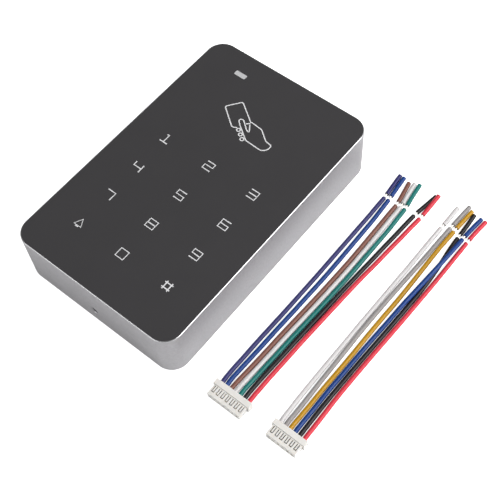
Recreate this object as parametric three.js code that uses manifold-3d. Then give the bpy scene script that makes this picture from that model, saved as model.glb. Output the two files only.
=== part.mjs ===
// Keypad access reader: a slim cast metal case with a flush black touch panel, the boards inside it,
// the steel plate that it hooks onto, and the two loose wire harnesses that plug into its back.
// Millimetres. X is the width, Y the length with the status window at the +Y end, and +Z points out
// of the panel. The origin is at the bottom centre, on the wall side of the plate.
import * as THREE from 'three';
import { mergeVertices } from 'three/addons/utils/BufferGeometryUtils.js';
import Module from 'manifold-3d';

const wasm = await Module();
wasm.setup();

// ---------------------------------------------------------------- driving dimensions
const CASE = { width: 77, length: 120, back: 0.3, top: 24, corner: 7.5 };
const WALL = 3.5;                 // side wall beside the back cover
const STEP = 2;                   // ledge inside that wall, which the back cover closes against
const STEP_Z = 6;
const RIM = 0.35;                 // bright metal rim left around the panel
const REBATE_Z = 20.4;            // floor of the rebate that holds the panel
const GAP = 0.3;                  // clearance between neighbouring pieces
const FIT = 0.6;                  // clearance around the boards
const ARC_STEPS = 5;              // facets in a quarter turn of a case corner

const PANEL = { bottom: 21.5, top: 23.9 };
const STATUS = { x: -19, y: 49.8, width: 5.4, length: 2.2 };
const SEAL_BAND = 1.2;

const TOUCH_BOARD = { bottom: 16.8, top: 18 };
const MAIN_BOARD = { bottom: 10.8, top: 12.4 };
const BOARD_CORNER = 2.5;
const POST_NOTCH = 20;            // a board corner cut away for a post, reaching past the board's edge
const LIGHT_GUIDE = { half: 24.5, low: -47, high: 50.6, bottom: 19.2, top: 21.2 };
const COIL = { y: 33, width: 46, length: 30, band: 3, corner: 6 };

const BOARD_SCREW = { x: 29, y: 36, shank: 1.15, hole: 1.45, head: 2.3, under: 10.5, deep: 8.7, tip: 20 };
const LUG = { inner: 25.5, half: 4 };
const COVER = { bottom: 2.6, top: 4.6, clear: 0.4, corner: 4.2 };
const COVER_SCREW = { x: 29.4, y: 50.8, shank: 1.15, hole: 1.45, head: 2.5, low: 2.4, under: 3.4, tip: 14 };
const POST = { inner: 25.5, near: 47, top: 15.5 };

const PLATE = { width: 66, length: 109, thick: 1.2, corner: 4 };
const WINDOW = { half: 26, low: -6, high: 26, corner: 3 };         // cable window in the wall plate
const SLOT = { x: 22, y: 42, radius: 2.3, reach: 4.5 };            // wall screw slots
const HOOK = { x: 18, width: 10, axisY: 57, axisZ: 2.1, recess: 5 }; // the reader swings on these
const RELIEF = { y: 58.2, z: 2.6 }; // the top edge's rear corner is cut back, clear of the wall in the swing
const HOOK_POCKET = { width: 12, deep: 58.75, mouth: 57.9, top: 4.4, lip: 1.2 };
const FLANGE = { half: 8, outer: -54.9, inner: -53.7, top: 11.5 }; // bent-up tab that takes the lock screw
const LOCK = { z: 7.8, hole: 1.5, tip: -56.1, tail: -51.2, radius: 1.2 };
const LOCK_POCKET = { half: 9.5, inner: -50, top: 14, wall: 2.5, back: 2 };

const CABLE_WINDOW = { left: -19.5, right: 19, low: 5, high: 15 }; // in the back cover, over the sockets
const SOCKETS = { y: 10, z: 4.5, height: 6, depth: 5.6, wall: 0.7, floor: 1, pin: 0.5, pinLength: 3.8 };
const TAMPER = { x: 8, y: 40, radius: 1.2, tip: 1.5, top: 7.8 };

const PITCH = 2.05;               // between the circuits of a plug
// Distances along a plug are counted from its mouth.
const PLUG = {
  shoulder: 4.3, rear: 6.6, height: 4.2, slim: 0.4, margin: 2.5, flare: 0.7,
  windowWidth: 1.1, windowStart: 1.3, windowEnd: 3.8, windowDeep: 1.3, bore: 0.9, boreDeep: 4,
};
const WIRE = { radius: 0.9, sides: 8, steps: 26, lie: 0.95 };

// ---------------------------------------------------------------- shapes and solids
function roundedOutline(width, length, radius, cx = 0, cy = 0) {
  const x = width / 2 - radius;
  const y = length / 2 - radius;
  const quarter = Math.PI / 2;
  return new THREE.Shape()
    .absarc(cx + x, cy + y, radius, 0, quarter, false)
    .absarc(cx - x, cy + y, radius, quarter, 2 * quarter, false)
    .absarc(cx - x, cy - y, radius, 2 * quarter, 3 * quarter, false)
    .absarc(cx + x, cy - y, radius, 3 * quarter, 4 * quarter, false);
}

function solid(geometry) {
  const bare = geometry.clone();
  bare.deleteAttribute('normal');
  bare.deleteAttribute('uv');
  const merged = mergeVertices(bare, 1e-4);
  const vertProperties = new Float32Array(merged.attributes.position.array);
  const triVerts = new Uint32Array(merged.index.array);
  return new wasm.Manifold(new wasm.Mesh({ numProp: 3, vertProperties, triVerts }));
}

function slab(outline, z0, z1, curveSegments = ARC_STEPS) {
  const geometry = new THREE.ExtrudeGeometry(outline, { depth: z1 - z0, bevelEnabled: false, curveSegments });
  return solid(geometry.translate(0, 0, z0));
}

function roundedSlab(width, length, radius, z0, z1, cx = 0, cy = 0) {
  return slab(roundedOutline(width, length, radius, cx, cy), z0, z1);
}

function block(x0, x1, y0, y1, z0, z1) {
  const geometry = new THREE.BoxGeometry(x1 - x0, y1 - y0, z1 - z0);
  return solid(geometry.translate((x0 + x1) / 2, (y0 + y1) / 2, (z0 + z1) / 2));
}

function chip(x, y, width, length, z0, z1) {
  return block(x - width / 2, x + width / 2, y - length / 2, y + length / 2, z0, z1);
}

function post(x, y, radius, z0, z1, sides = 14) {
  const geometry = new THREE.CylinderGeometry(radius, radius, z1 - z0, sides);
  return solid(geometry.rotateX(Math.PI / 2).translate(x, y, (z0 + z1) / 2));
}

function rodAlongY(x, z, radius, y0, y1, sides = 16) {
  const geometry = new THREE.CylinderGeometry(radius, radius, y1 - y0, sides);
  return solid(geometry.translate(x, (y0 + y1) / 2, z));
}

// A profile drawn as [y, z] points, extruded along X between x0 and x1.
function barAlongX(profile, x0, x1) {
  const outline = new THREE.Shape(profile.map(([y, z]) => new THREE.Vector2(y, z)));
  const geometry = new THREE.ExtrudeGeometry(outline, { depth: x1 - x0, bevelEnabled: false });
  const turn = new THREE.Matrix4().makeBasis(
    new THREE.Vector3(0, 1, 0), new THREE.Vector3(0, 0, 1), new THREE.Vector3(1, 0, 0));
  return solid(geometry.applyMatrix4(turn).translate(x0, 0, 0));
}

const join = (first, ...rest) => rest.reduce((whole, piece) => whole.add(piece), first);
const cut = (first, ...rest) => rest.reduce((whole, piece) => whole.subtract(piece), first);
const corners = (x, y) => [[x, y], [-x, y], [-x, -y], [x, -y]];

// ---------------------------------------------------------------- materials
function finish(color, roughness, metalness) {
  return new THREE.MeshStandardMaterial({ color, roughness, metalness });
}

const CAST_METAL = finish(0xa3a3a7, 0.42, 0.9);
const PLATED_STEEL = finish(0xb4b6b8, 0.35, 1);
const BLACK_PANEL = finish(0x3c3b3e, 0.25, 0);
const CLEAR_PLASTIC = finish(0xc9cbcd, 0.3, 0);
const BLACK_PLASTIC = finish(0x242427, 0.6, 0);
const WHITE_NYLON = finish(0xe4e2dd, 0.55, 0);
const RUBBER = finish(0x1c1c1e, 0.85, 0);
const BOARD_GREEN = finish(0x1f5a3a, 0.5, 0);
const COPPER = finish(0xb87345, 0.35, 1);
const BRASS = finish(0xc9a45a, 0.35, 1);
const WIRE_COLOURS = {
  purple: 0x4d3f78, blue: 0x1f4fa0, brown: 0x7a4a35, white: 0xe6e4dc, green: 0x177258,
  black: 0x1d1d20, red: 0xc02232, grey: 0x96969a, yellow: 0xcda32a,
};

const reader = new THREE.Group();

function add(name, shape, material) {
  const { numProp, vertProperties, triVerts } = shape.getMesh();
  const points = new Float32Array((vertProperties.length / numProp) * 3);
  for (let i = 0; i < points.length / 3; i += 1) {
    points.set(vertProperties.subarray(i * numProp, i * numProp + 3), i * 3);
  }
  const geometry = new THREE.BufferGeometry();
  geometry.setAttribute('position', new THREE.BufferAttribute(points, 3));
  geometry.setIndex(new THREE.BufferAttribute(new Uint32Array(triVerts), 1));
  geometry.computeVertexNormals();
  const mesh = new THREE.Mesh(geometry, material);
  mesh.name = name;
  reader.add(mesh);
}

// ---------------------------------------------------------------- cast case
const FAR = 200;                  // longer than anything it cuts
const inside = { width: CASE.width - 2 * (WALL + STEP), length: CASE.length - 2 * (WALL + STEP) };
const rear = { width: CASE.width - 2 * WALL, length: CASE.length - 2 * WALL };
const halfInside = { x: inside.width / 2, y: inside.length / 2 };

// The bottom centre of the case holds a dry pocket, outside the seal, for the plate's bent-up tab.
function lockBlock() {
  const half = LOCK_POCKET.half + LOCK_POCKET.wall;
  return block(-half, half, -halfInside.y - 1, LOCK_POCKET.inner + LOCK_POCKET.back, STEP_Z, REBATE_Z);
}

function lockPocket() {
  return block(-LOCK_POCKET.half, LOCK_POCKET.half, -rear.length / 2, LOCK_POCKET.inner, -1, LOCK_POCKET.top);
}

function hookPocket(x) {
  const half = HOOK_POCKET.width / 2;
  return join(
    block(x - half, x + half, rear.length / 2 - 1, HOOK_POCKET.deep, HOOK_POCKET.lip, HOOK_POCKET.top),
    block(x - half, x + half, rear.length / 2 - 1, HOOK_POCKET.mouth, -1, HOOK_POCKET.top));
}

function caseFrame() {
  const shell = cut(
    roundedSlab(CASE.width, CASE.length, CASE.corner, CASE.back, CASE.top),
    roundedSlab(inside.width, inside.length, 3, -1, CASE.top + 1),
    roundedSlab(rear.width, rear.length, 4.5, -1, STEP_Z),
    roundedSlab(CASE.width - 2 * RIM, CASE.length - 2 * RIM, CASE.corner - RIM, REBATE_Z, CASE.top + 1));
  const posts = corners(1, 1).map(([sx, sy]) => block(
    Math.min(sx * POST.inner, sx * (halfInside.x + 1)), Math.max(sx * POST.inner, sx * (halfInside.x + 1)),
    Math.min(sy * POST.near, sy * (halfInside.y + 1)), Math.max(sy * POST.near, sy * (halfInside.y + 1)),
    STEP_Z, POST.top));
  const lugs = corners(1, 1).map(([sx, sy]) => block(
    Math.min(sx * LUG.inner, sx * (halfInside.x + 1)), Math.max(sx * LUG.inner, sx * (halfInside.x + 1)),
    sy * BOARD_SCREW.y - LUG.half, sy * BOARD_SCREW.y + LUG.half, TOUCH_BOARD.top + GAP, REBATE_Z));
  const topEdge = CASE.length / 2;
  const swingRelief = barAlongX([[RELIEF.y, -1], [RELIEF.y, CASE.back], [topEdge, RELIEF.z],
    [topEdge + 2, RELIEF.z], [topEdge + 2, -1]], -FAR, FAR);
  return cut(
    join(shell, ...posts, ...lugs, lockBlock()),
    lockPocket(),
    ...corners(COVER_SCREW.x, COVER_SCREW.y).map(([x, y]) =>
      post(x, y, COVER_SCREW.hole, STEP_Z - 1, COVER_SCREW.tip + 2 * GAP)),
    ...corners(BOARD_SCREW.x, BOARD_SCREW.y).map(([x, y]) =>
      post(x, y, BOARD_SCREW.hole, TOUCH_BOARD.top, REBATE_Z + 1)),
    rodAlongY(0, LOCK.z, LOCK.hole, -CASE.length / 2 - 1, -rear.length / 2 + 1),
    hookPocket(HOOK.x), hookPocket(-HOOK.x), swingRelief);
}
add('case_frame', caseFrame(), CAST_METAL);

// ---------------------------------------------------------------- front panel
const panelWidth = CASE.width - 2 * (RIM + GAP);
const panelLength = CASE.length - 2 * (RIM + GAP);
const panelCorner = CASE.corner - RIM - GAP;
add('front_panel', cut(
  roundedSlab(panelWidth, panelLength, panelCorner, PANEL.bottom, PANEL.top),
  chip(STATUS.x, STATUS.y, STATUS.width + 2 * GAP, STATUS.length + 2 * GAP, PANEL.bottom - 1, PANEL.top + 1),
), BLACK_PANEL);
add('status_window',
  chip(STATUS.x, STATUS.y, STATUS.width, STATUS.length, PANEL.bottom, PANEL.top), CLEAR_PLASTIC);
add('panel_gasket', cut(
  roundedSlab(panelWidth - 2, panelLength - 2, panelCorner - 1, REBATE_Z + GAP, PANEL.bottom - GAP),
  roundedSlab(inside.width + 2, inside.length + 2, 4, REBATE_Z, PANEL.bottom),
), RUBBER);
add('light_guide', block(-LIGHT_GUIDE.half, LIGHT_GUIDE.half, LIGHT_GUIDE.low, LIGHT_GUIDE.high,
  LIGHT_GUIDE.bottom, LIGHT_GUIDE.top), CLEAR_PLASTIC);

// ---------------------------------------------------------------- boards
function boardBlank(z0, z1) {
  const half = LOCK_POCKET.half + LOCK_POCKET.wall + FIT;
  return cut(
    roundedSlab(inside.width - 2 * FIT, inside.length - 2 * FIT, BOARD_CORNER, z0, z1),
    block(-half, half, -FAR, LOCK_POCKET.inner + LOCK_POCKET.back + FIT, z0 - 1, z1 + 1),
    ...corners(BOARD_SCREW.x, BOARD_SCREW.y).map(([x, y]) => post(x, y, BOARD_SCREW.hole, z0 - 1, z1 + 1)));
}
add('touch_board', boardBlank(TOUCH_BOARD.bottom, TOUCH_BOARD.top), BOARD_GREEN);
add('main_board', cut(
  boardBlank(MAIN_BOARD.bottom, MAIN_BOARD.top),
  ...corners(1, 1).map(([sx, sy]) => chip(
    sx * (POST.inner - FIT + POST_NOTCH / 2), sy * (POST.near - FIT + POST_NOTCH / 2), POST_NOTCH, POST_NOTCH,
    MAIN_BOARD.bottom - 1, MAIN_BOARD.top + 1)),
), BOARD_GREEN);

const onTouchBoard = TOUCH_BOARD.top + GAP;
add('antenna_coil', cut(
  roundedSlab(COIL.width, COIL.length, COIL.corner, onTouchBoard, onTouchBoard + 0.6, 0, COIL.y),
  roundedSlab(COIL.width - 2 * COIL.band, COIL.length - 2 * COIL.band, COIL.corner - COIL.band,
    onTouchBoard - 1, onTouchBoard + 1, 0, COIL.y),
), COPPER);
add('status_led', chip(STATUS.x, STATUS.y, 3.2, 1.6, onTouchBoard, onTouchBoard + 0.6), CLEAR_PLASTIC);

const underTouchBoard = TOUCH_BOARD.bottom - GAP;
add('touch_chip', chip(0, -10, 7, 7, underTouchBoard - 1.1, underTouchBoard), BLACK_PLASTIC);

const onMainBoard = MAIN_BOARD.top + GAP;
add('board_link', chip(0, -32, 20.3, 5, onMainBoard, underTouchBoard), BLACK_PLASTIC);
add('controller_chip', chip(8, -10, 10, 10, onMainBoard, onMainBoard + 1.5), BLACK_PLASTIC);
add('card_reader_chip', chip(0, 26, 6, 6, onMainBoard, onMainBoard + 1), BLACK_PLASTIC);
add('power_inductor', roundedSlab(7.3, 7.3, 1.5, onMainBoard, onMainBoard + 3.2, -18, 6), BLACK_PLASTIC);
add('clock_crystal', roundedSlab(11, 4.6, 2, onMainBoard, onMainBoard + 3.4, 14, 8), PLATED_STEEL);

const underMainBoard = MAIN_BOARD.bottom - GAP;
add('door_relay', chip(-16, -14, 10.6, 7.4, underMainBoard - 5.2, underMainBoard), BLACK_PLASTIC);
add('buzzer', cut(
  post(14, -20, 6, underMainBoard - 5, underMainBoard, 28),
  post(14, -20, 1, underMainBoard - 6, underMainBoard - 3.5, 12),
), BLACK_PLASTIC);
add('filter_capacitor', post(-14, 40, 4, underMainBoard - 5.4, underMainBoard), PLATED_STEEL);

const circuitCentres = (x, circuits) =>
  Array.from({ length: circuits }, (_, i) => x + (i - (circuits - 1) / 2) * PITCH);

// Each socket is a shroud open towards the wall, with its pins standing on the shroud's floor.
function socket(x, circuits) {
  const half = ((circuits - 1) * PITCH + PLUG.margin + 2 * SOCKETS.wall + GAP) / 2;
  const depth = SOCKETS.depth / 2;
  const top = SOCKETS.z + SOCKETS.height;
  const floor = top - SOCKETS.floor;
  const shroud = cut(
    block(x - half, x + half, SOCKETS.y - depth, SOCKETS.y + depth, SOCKETS.z, top),
    block(x - half + SOCKETS.wall, x + half - SOCKETS.wall,
      SOCKETS.y - depth + SOCKETS.wall, SOCKETS.y + depth - SOCKETS.wall, SOCKETS.z - 1, floor));
  const pins = circuitCentres(x, circuits).map((px) =>
    chip(px, SOCKETS.y, SOCKETS.pin, SOCKETS.pin, floor - SOCKETS.pinLength, floor + 0.1));
  return join(shroud, ...pins);
}
add('socket_7', socket(-9.6, 7), WHITE_NYLON);
add('socket_6', socket(9.2, 6), WHITE_NYLON);

add('tamper_switch', cut(
  chip(TAMPER.x, TAMPER.y, 6, 6, underMainBoard - 4, underMainBoard),
  post(TAMPER.x, TAMPER.y, TAMPER.radius + GAP, underMainBoard - 5, underMainBoard - 0.8),
), BLACK_PLASTIC);
add('tamper_plunger', post(TAMPER.x, TAMPER.y, TAMPER.radius, TAMPER.tip, TAMPER.top), WHITE_NYLON);

// ---------------------------------------------------------------- spacers and screws
function screw(x, y, size, headLow, headTop) {
  const cross = [[1.8, 0.5], [0.5, 1.8]].map(([w, l]) => chip(x, y, w, l, headLow - 1, headLow + 0.6));
  const head = post(x, y, size.head, headLow, headTop);
  const shank = post(x, y, size.shank, headTop - 0.1, size.tip, 10);
  return cut(join(head, shank), ...cross);
}
corners(BOARD_SCREW.x, BOARD_SCREW.y).forEach(([x, y], i) => {
  add(`board_spacer_${i + 1}`, cut(
    post(x, y, 2.75, onMainBoard, underTouchBoard),
    post(x, y, BOARD_SCREW.hole, onMainBoard - 1, underTouchBoard + 1)), BRASS);
  add(`board_screw_${i + 1}`, screw(x, y, BOARD_SCREW, BOARD_SCREW.deep, BOARD_SCREW.under), PLATED_STEEL);
});

// ---------------------------------------------------------------- back cover and its seal
function coverOutline(inset, z0, z1) {
  const clear = COVER.clear + inset;
  const half = LOCK_POCKET.half + clear;
  return cut(
    roundedSlab(rear.width - 2 * clear, rear.length - 2 * clear, COVER.corner - inset, z0, z1),
    block(-half, half, -FAR, LOCK_POCKET.inner + clear, z0 - 1, z1 + 1));
}
add('back_seal', cut(
  coverOutline(GAP, COVER.top + GAP, STEP_Z - GAP),
  coverOutline(GAP + SEAL_BAND, COVER.top, STEP_Z)), RUBBER);
add('back_cover', cut(
  coverOutline(0, COVER.bottom, COVER.top),
  block(CABLE_WINDOW.left, CABLE_WINDOW.right, CABLE_WINDOW.low, CABLE_WINDOW.high,
    COVER.bottom - 1, COVER.top + 1),
  post(TAMPER.x, TAMPER.y, TAMPER.radius + GAP, COVER.bottom - 1, COVER.top + 1),
  ...[HOOK.x, -HOOK.x].map((x) =>
    chip(x, rear.length / 2, HOOK_POCKET.width, HOOK.recess, 0, COVER.bottom + 0.5)),
  ...corners(COVER_SCREW.x, COVER_SCREW.y).flatMap(([x, y]) => [
    post(x, y, COVER_SCREW.head + GAP, COVER.bottom - 1, COVER_SCREW.under + GAP),
    post(x, y, COVER_SCREW.hole, COVER.bottom, COVER.top + 1)]),
), BLACK_PLASTIC);
corners(COVER_SCREW.x, COVER_SCREW.y).forEach(([x, y], i) => {
  add(`cover_screw_${i + 1}`, screw(x, y, COVER_SCREW, COVER_SCREW.low, COVER_SCREW.under), PLATED_STEEL);
});

// ---------------------------------------------------------------- wall plate and lock screw
function hook(x) {
  const z = HOOK.axisZ;
  const y = HOOK.axisY;
  const profile = [[y - 4, 0], [y - 1, 0], [y - 0.1, z - 0.6], [y + 1.3, z - 0.6], [y + 1.3, z + 0.6],
    [y - 1.4, z + 0.6], [y - 2.4, PLATE.thick], [y - 4, PLATE.thick]];
  return barAlongX(profile, x - HOOK.width / 2, x + HOOK.width / 2);
}

function wallSlot(x, y) {
  const arc = Math.PI;
  const outline = new THREE.Shape()
    .absarc(x, y + SLOT.reach / 2, SLOT.radius, 0, arc, false)
    .absarc(x, y - SLOT.reach / 2, SLOT.radius, arc, 2 * arc, false);
  return slab(outline, -1, PLATE.thick + 1);
}

add('wall_plate', cut(
  join(roundedSlab(PLATE.width, PLATE.length, PLATE.corner, 0, PLATE.thick), hook(HOOK.x), hook(-HOOK.x),
    block(-FLANGE.half, FLANGE.half, FLANGE.outer, FLANGE.inner, 0, FLANGE.top)),
  roundedSlab(2 * WINDOW.half, WINDOW.high - WINDOW.low, WINDOW.corner, -1, PLATE.thick + 1,
    0, (WINDOW.low + WINDOW.high) / 2),
  rodAlongY(0, LOCK.z, LOCK.radius + GAP, FLANGE.outer - 1, FLANGE.inner + 1),
  ...corners(SLOT.x, SLOT.y).map(([x, y]) => wallSlot(x, y)),
), PLATED_STEEL);
add('lock_screw', cut(
  rodAlongY(0, LOCK.z, LOCK.radius, LOCK.tip, LOCK.tail, 18),
  rodAlongY(0, LOCK.z, LOCK.radius * 0.55, LOCK.tip - 1, LOCK.tip + 1.2, 6)), PLATED_STEEL);

// ---------------------------------------------------------------- harness plugs
// A plug lies flat, mouth towards -Y. Its wire end is thicker and wider, and one window for each
// circuit is open on top.
function plug(x, mouth, circuits) {
  const half = ((circuits - 1) * PITCH + PLUG.margin) / 2;
  const top = PLUG.height - PLUG.slim;
  const body = join(
    block(x - half, x + half, mouth, mouth + PLUG.shoulder + 1, PLUG.slim, top),
    block(x - half - PLUG.flare, x + half + PLUG.flare, mouth + PLUG.shoulder, mouth + PLUG.rear,
      0, PLUG.height));
  const cavities = circuitCentres(x, circuits).flatMap((cx) => [
    block(cx - PLUG.windowWidth / 2, cx + PLUG.windowWidth / 2, mouth + PLUG.windowStart, mouth + PLUG.windowEnd,
      top - PLUG.windowDeep, top + 1),
    chip(cx, mouth, PLUG.bore, 2 * PLUG.boreDeep, (PLUG.height - PLUG.bore) / 2, (PLUG.height + PLUG.bore) / 2)]);
  return cut(body, ...cavities);
}

// A wire starts at its plug, crosses the same stations along Y as the others at an X of its own, and
// ends at its own tip. A wire that crosses over another is lifted at the stations given.
const STATIONS = [-48.5, -44.5, -39, -31, -22, -13, -4, 5, 14, 23, 31, 38, 44, 50, 56];
const RISE = [2.1, 2.05, 1.65, 1.1, WIRE.lie];      // height at the start and first stations, then flat on the bench

const HARNESSES = [
  {
    name: 'plug_7', x: 59.85, mouth: -58.1,
    wires: [
      { colour: 'purple', tip: [52.6, 62.1],
        x: [53.5, 53.3, 53.2, 53.2, 53.4, 53.6, 53.7, 53.8, 53.8, 53.8, 53.8, 53.8, 53.7, 53.6, 53.1] },
      { colour: 'blue', tip: [54.5, 62.1],
        x: [55.5, 55.4, 55.4, 55.6, 55.8, 56.1, 56.3, 56.5, 56.5, 56.4, 56.3, 56.2, 55.9, 55.6, 55] },
      { colour: 'brown', tip: [57.4, 61.2],
        x: [57.8, 57.85, 57.95, 58.2, 58.5, 58.9, 59.3, 59.6, 59.8, 59.8, 59.7, 59.6, 59.5, 59.35, 58.4] },
      { colour: 'white', tip: [59.5, 62.2],
        x: [59.8, 59.8, 59.85, 60.1, 60.4, 60.8, 61.2, 61.5, 61.7, 61.7, 61.6, 61.5, 61.4, 61.25, 60.35] },
      { colour: 'green', tip: [61.4, 63],
        x: [61.75, 61.75, 61.75, 62, 62.3, 62.7, 63.1, 63.4, 63.6, 63.6, 63.6, 63.6, 63.4, 63.15, 62.25] },
      { colour: 'black', tip: [69.6, 62.2],
        x: [63.8, 63.7, 63.65, 63.9, 64.2, 64.6, 65, 65.35, 65.8, 66.3, 66.7, 67.1, 67.4, 67.8, 68.7] },
      { colour: 'red', tip: [70.7, 62.2],
        x: [65.9, 65.8, 65.7, 65.9, 66.15, 66.5, 66.9, 67.3, 67.8, 68.5, 69, 69.5, 69.9, 70.4, 70.6],
        lift: { 13: 1.05, 14: 1.35, 15: 1.95, 16: 2.55 } },
    ],
  },
  {
    name: 'plug_6', x: 84.65, mouth: -57.1,
    wires: [
      { colour: 'white', tip: [79.3, 62.8],
        x: [79.3, 79.1, 78.8, 78.7, 78.7, 78.8, 78.8, 78.9, 79, 79.1, 79.2, 79.2, 79.2, 79.3, 79.4] },
      { colour: 'grey', tip: [82.8, 66],
        x: [81.45, 81.35, 81.2, 81, 80.9, 80.8, 80.7, 80.8, 81, 81.3, 81.6, 81.8, 81.9, 82.1, 82.3] },
      { colour: 'yellow', tip: [84.7, 64.8],
        x: [83.55, 83.5, 83.45, 83.4, 83.6, 83.7, 83.7, 83.8, 84, 84, 83.9, 83.8, 83.8, 84, 84.2] },
      { colour: 'blue', tip: [89.5, 63.8],
        x: [85.6, 85.5, 85.4, 85.3, 85.5, 85.65, 85.9, 86.3, 86.8, 87.5, 88.1, 88.5, 88.7, 88.8, 88.9],
        lift: { 8: 1.1, 9: 1.9, 10: 2.5, 11: 2.95, 12: 2.95, 13: 2.6, 14: 2, 15: 1.3 } },
      { colour: 'black', tip: [86.3, 63.8],
        x: [87.65, 87.5, 87.3, 87.25, 87.4, 87.6, 87.9, 88.2, 88.45, 88.65, 88.4, 87.9, 87.3, 86.9, 86.7] },
      { colour: 'red', tip: [91.5, 63.8],
        x: [89.7, 89.6, 89.4, 89.2, 89.3, 89.5, 89.8, 90.1, 90.35, 90.55, 90.7, 90.75, 90.75, 90.8, 90.9] },
    ],
  },
];

function wirePath(harness, index) {
  const { x, tip, lift = {} } = harness.wires[index];
  const start = [
    circuitCentres(harness.x, harness.wires.length)[index], harness.mouth + PLUG.rear + GAP];
  const flat = [start, ...STATIONS.map((y, i) => [x[i], y]), tip];
  return new THREE.CatmullRomCurve3(
    flat.map(([px, py], i) => new THREE.Vector3(px, py, RISE[i] ?? lift[i] ?? WIRE.lie)));
}

function wireTube(path) {
  const section = new THREE.Shape(Array.from({ length: WIRE.sides }, (_, i) => {
    const angle = (2 * Math.PI * i) / WIRE.sides;
    return new THREE.Vector2(WIRE.radius * Math.cos(angle), WIRE.radius * Math.sin(angle));
  }));
  return solid(new THREE.ExtrudeGeometry(section, { steps: WIRE.steps, extrudePath: path }));
}

for (const harness of HARNESSES) {
  const circuits = harness.wires.length;
  add(harness.name, plug(harness.x, harness.mouth, circuits), WHITE_NYLON);
  harness.wires.forEach(({ colour }, i) => {
    const tube = wireTube(wirePath(harness, i));
    add(`wire_${circuits}_${colour}`, tube, finish(WIRE_COLOURS[colour], 0.45, 0));
  });
}

export default reader;
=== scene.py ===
# %% [markdown]
# # A keypad access reader, dressed for a studio picture
# The working frame is already fixed: a cast metal case that hooks onto a steel wall plate, the
# boards inside it, and two loose wire harnesses beside it. These cells put the finished surfaces
# around that frame. Nothing here moves or resizes it, so every place is read from the frame.

import math

import bmesh
import bpy
from mathutils import Matrix, Quaternion, Vector


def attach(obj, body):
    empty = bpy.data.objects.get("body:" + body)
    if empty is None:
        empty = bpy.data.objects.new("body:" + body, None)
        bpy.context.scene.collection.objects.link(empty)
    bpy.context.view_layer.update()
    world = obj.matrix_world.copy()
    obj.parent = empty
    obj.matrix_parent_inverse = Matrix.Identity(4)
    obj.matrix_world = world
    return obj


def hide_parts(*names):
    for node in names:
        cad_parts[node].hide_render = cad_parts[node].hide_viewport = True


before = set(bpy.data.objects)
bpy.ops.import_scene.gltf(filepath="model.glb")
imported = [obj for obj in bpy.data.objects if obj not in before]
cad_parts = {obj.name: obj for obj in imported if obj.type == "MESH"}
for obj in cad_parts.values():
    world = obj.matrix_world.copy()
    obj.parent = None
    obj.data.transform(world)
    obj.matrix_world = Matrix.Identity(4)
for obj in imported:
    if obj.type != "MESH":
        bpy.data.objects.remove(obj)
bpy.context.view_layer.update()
MM = 0.001

# %% [markdown]
# ## Where the camera stands
# A catalogue picture of a small device is taken with a long lens from above one corner, so that
# the face, one side and one end all show. The camera is given as a spot, a point that it looks
# at, and a small roll, which is easier to read than a matrix.

# %% Camera
CAMERA_SPOT = Vector((0.1608, -0.1422, 0.3262))
CAMERA_TARGET = Vector((0.026, -0.0015, 0))
CAMERA_ROLL = math.radians(-5.5)
CAMERA_LENS = 70.34
SENSOR_WIDTH = 36


def place_camera(spot, target, roll, lens):
    data = bpy.data.cameras.new("camera")
    data.lens = lens
    data.sensor_width = SENSOR_WIDTH
    data.clip_start = 0.01
    camera = bpy.data.objects.new("camera", data)
    turn = (target - spot).to_track_quat("-Z", "Y") @ Quaternion((0, 0, 1), roll)
    camera.matrix_world = Matrix.Translation(spot) @ turn.to_matrix().to_4x4()
    bpy.context.scene.collection.objects.link(camera)
    return camera


bpy.context.scene.camera = place_camera(CAMERA_SPOT, CAMERA_TARGET, CAMERA_ROLL, CAMERA_LENS)
print("camera", round((CAMERA_TARGET - CAMERA_SPOT).length, 3), "m from its target")

# %% [markdown]
# ## Helpers for shaders
# Every finish starts as the same shader with three small textures on Object coordinates: one
# shifts the colour, one the roughness, and one dents the surface. Only their sizes and strengths
# differ between a bead-blasted casting and a moulded plug. Numbers that are the same all over
# stay on the shader.

# %% Shader helpers
def link(tree, source, target):
    tree.links.new(source, target)


def feed(tree, socket, value):
    """Links value to the socket if value is a socket too, and sets it there if not."""
    if isinstance(value, bpy.types.NodeSocket):
        link(tree, value, socket)
    else:
        socket.default_value = value


def add_node(tree, kind, settings=None, **inputs):
    """Makes one node, feeds its inputs, and returns its first enabled output."""
    made = tree.nodes.new(kind)
    for key, value in (settings or {}).items():
        setattr(made, key, value)
    for label, value in inputs.items():
        feed(tree, made.inputs[label.replace("_", " ")], value)
    return next(s for s in made.outputs if s.enabled)


def new_material(name, **fixed):
    material = bpy.data.materials.new(name)
    material.use_nodes = True
    shader = material.node_tree.nodes["Principled BSDF"]
    for socket, value in fixed.items():
        shader.inputs[socket.replace("_", " ")].default_value = value
    return material, material.node_tree, shader


def object_noise(tree, size, detail=3, stretch=(1, 1, 1)):
    """Noise whose blobs are about size metres across, or longer along a stretched axis."""
    place = tree.nodes.new("ShaderNodeTexCoord").outputs["Object"]
    scaled = add_node(tree, "ShaderNodeMapping", Vector=place,
                      Scale=[1 / (size * s) for s in stretch])
    return add_node(tree, "ShaderNodeTexNoise", Vector=scaled, Scale=1, Detail=detail)


def ramp(tree, value, stops):
    """A colour ramp from a list of (position, colour)."""
    made = tree.nodes.new("ShaderNodeValToRGB")
    elements = made.color_ramp.elements
    while len(elements) < len(stops):
        elements.new(1)
    for element, (position, colour) in zip(elements, stops):
        element.position = position
        element.color = (*colour, 1)
    link(tree, value, made.inputs["Fac"])
    return made.outputs["Color"]


def shade_of(colour, factor):
    return tuple(min(1, c * factor) for c in colour)


NOISE_LOW, NOISE_HIGH = 0.3, 0.7           # nearly all of a noise lies between these


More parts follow.
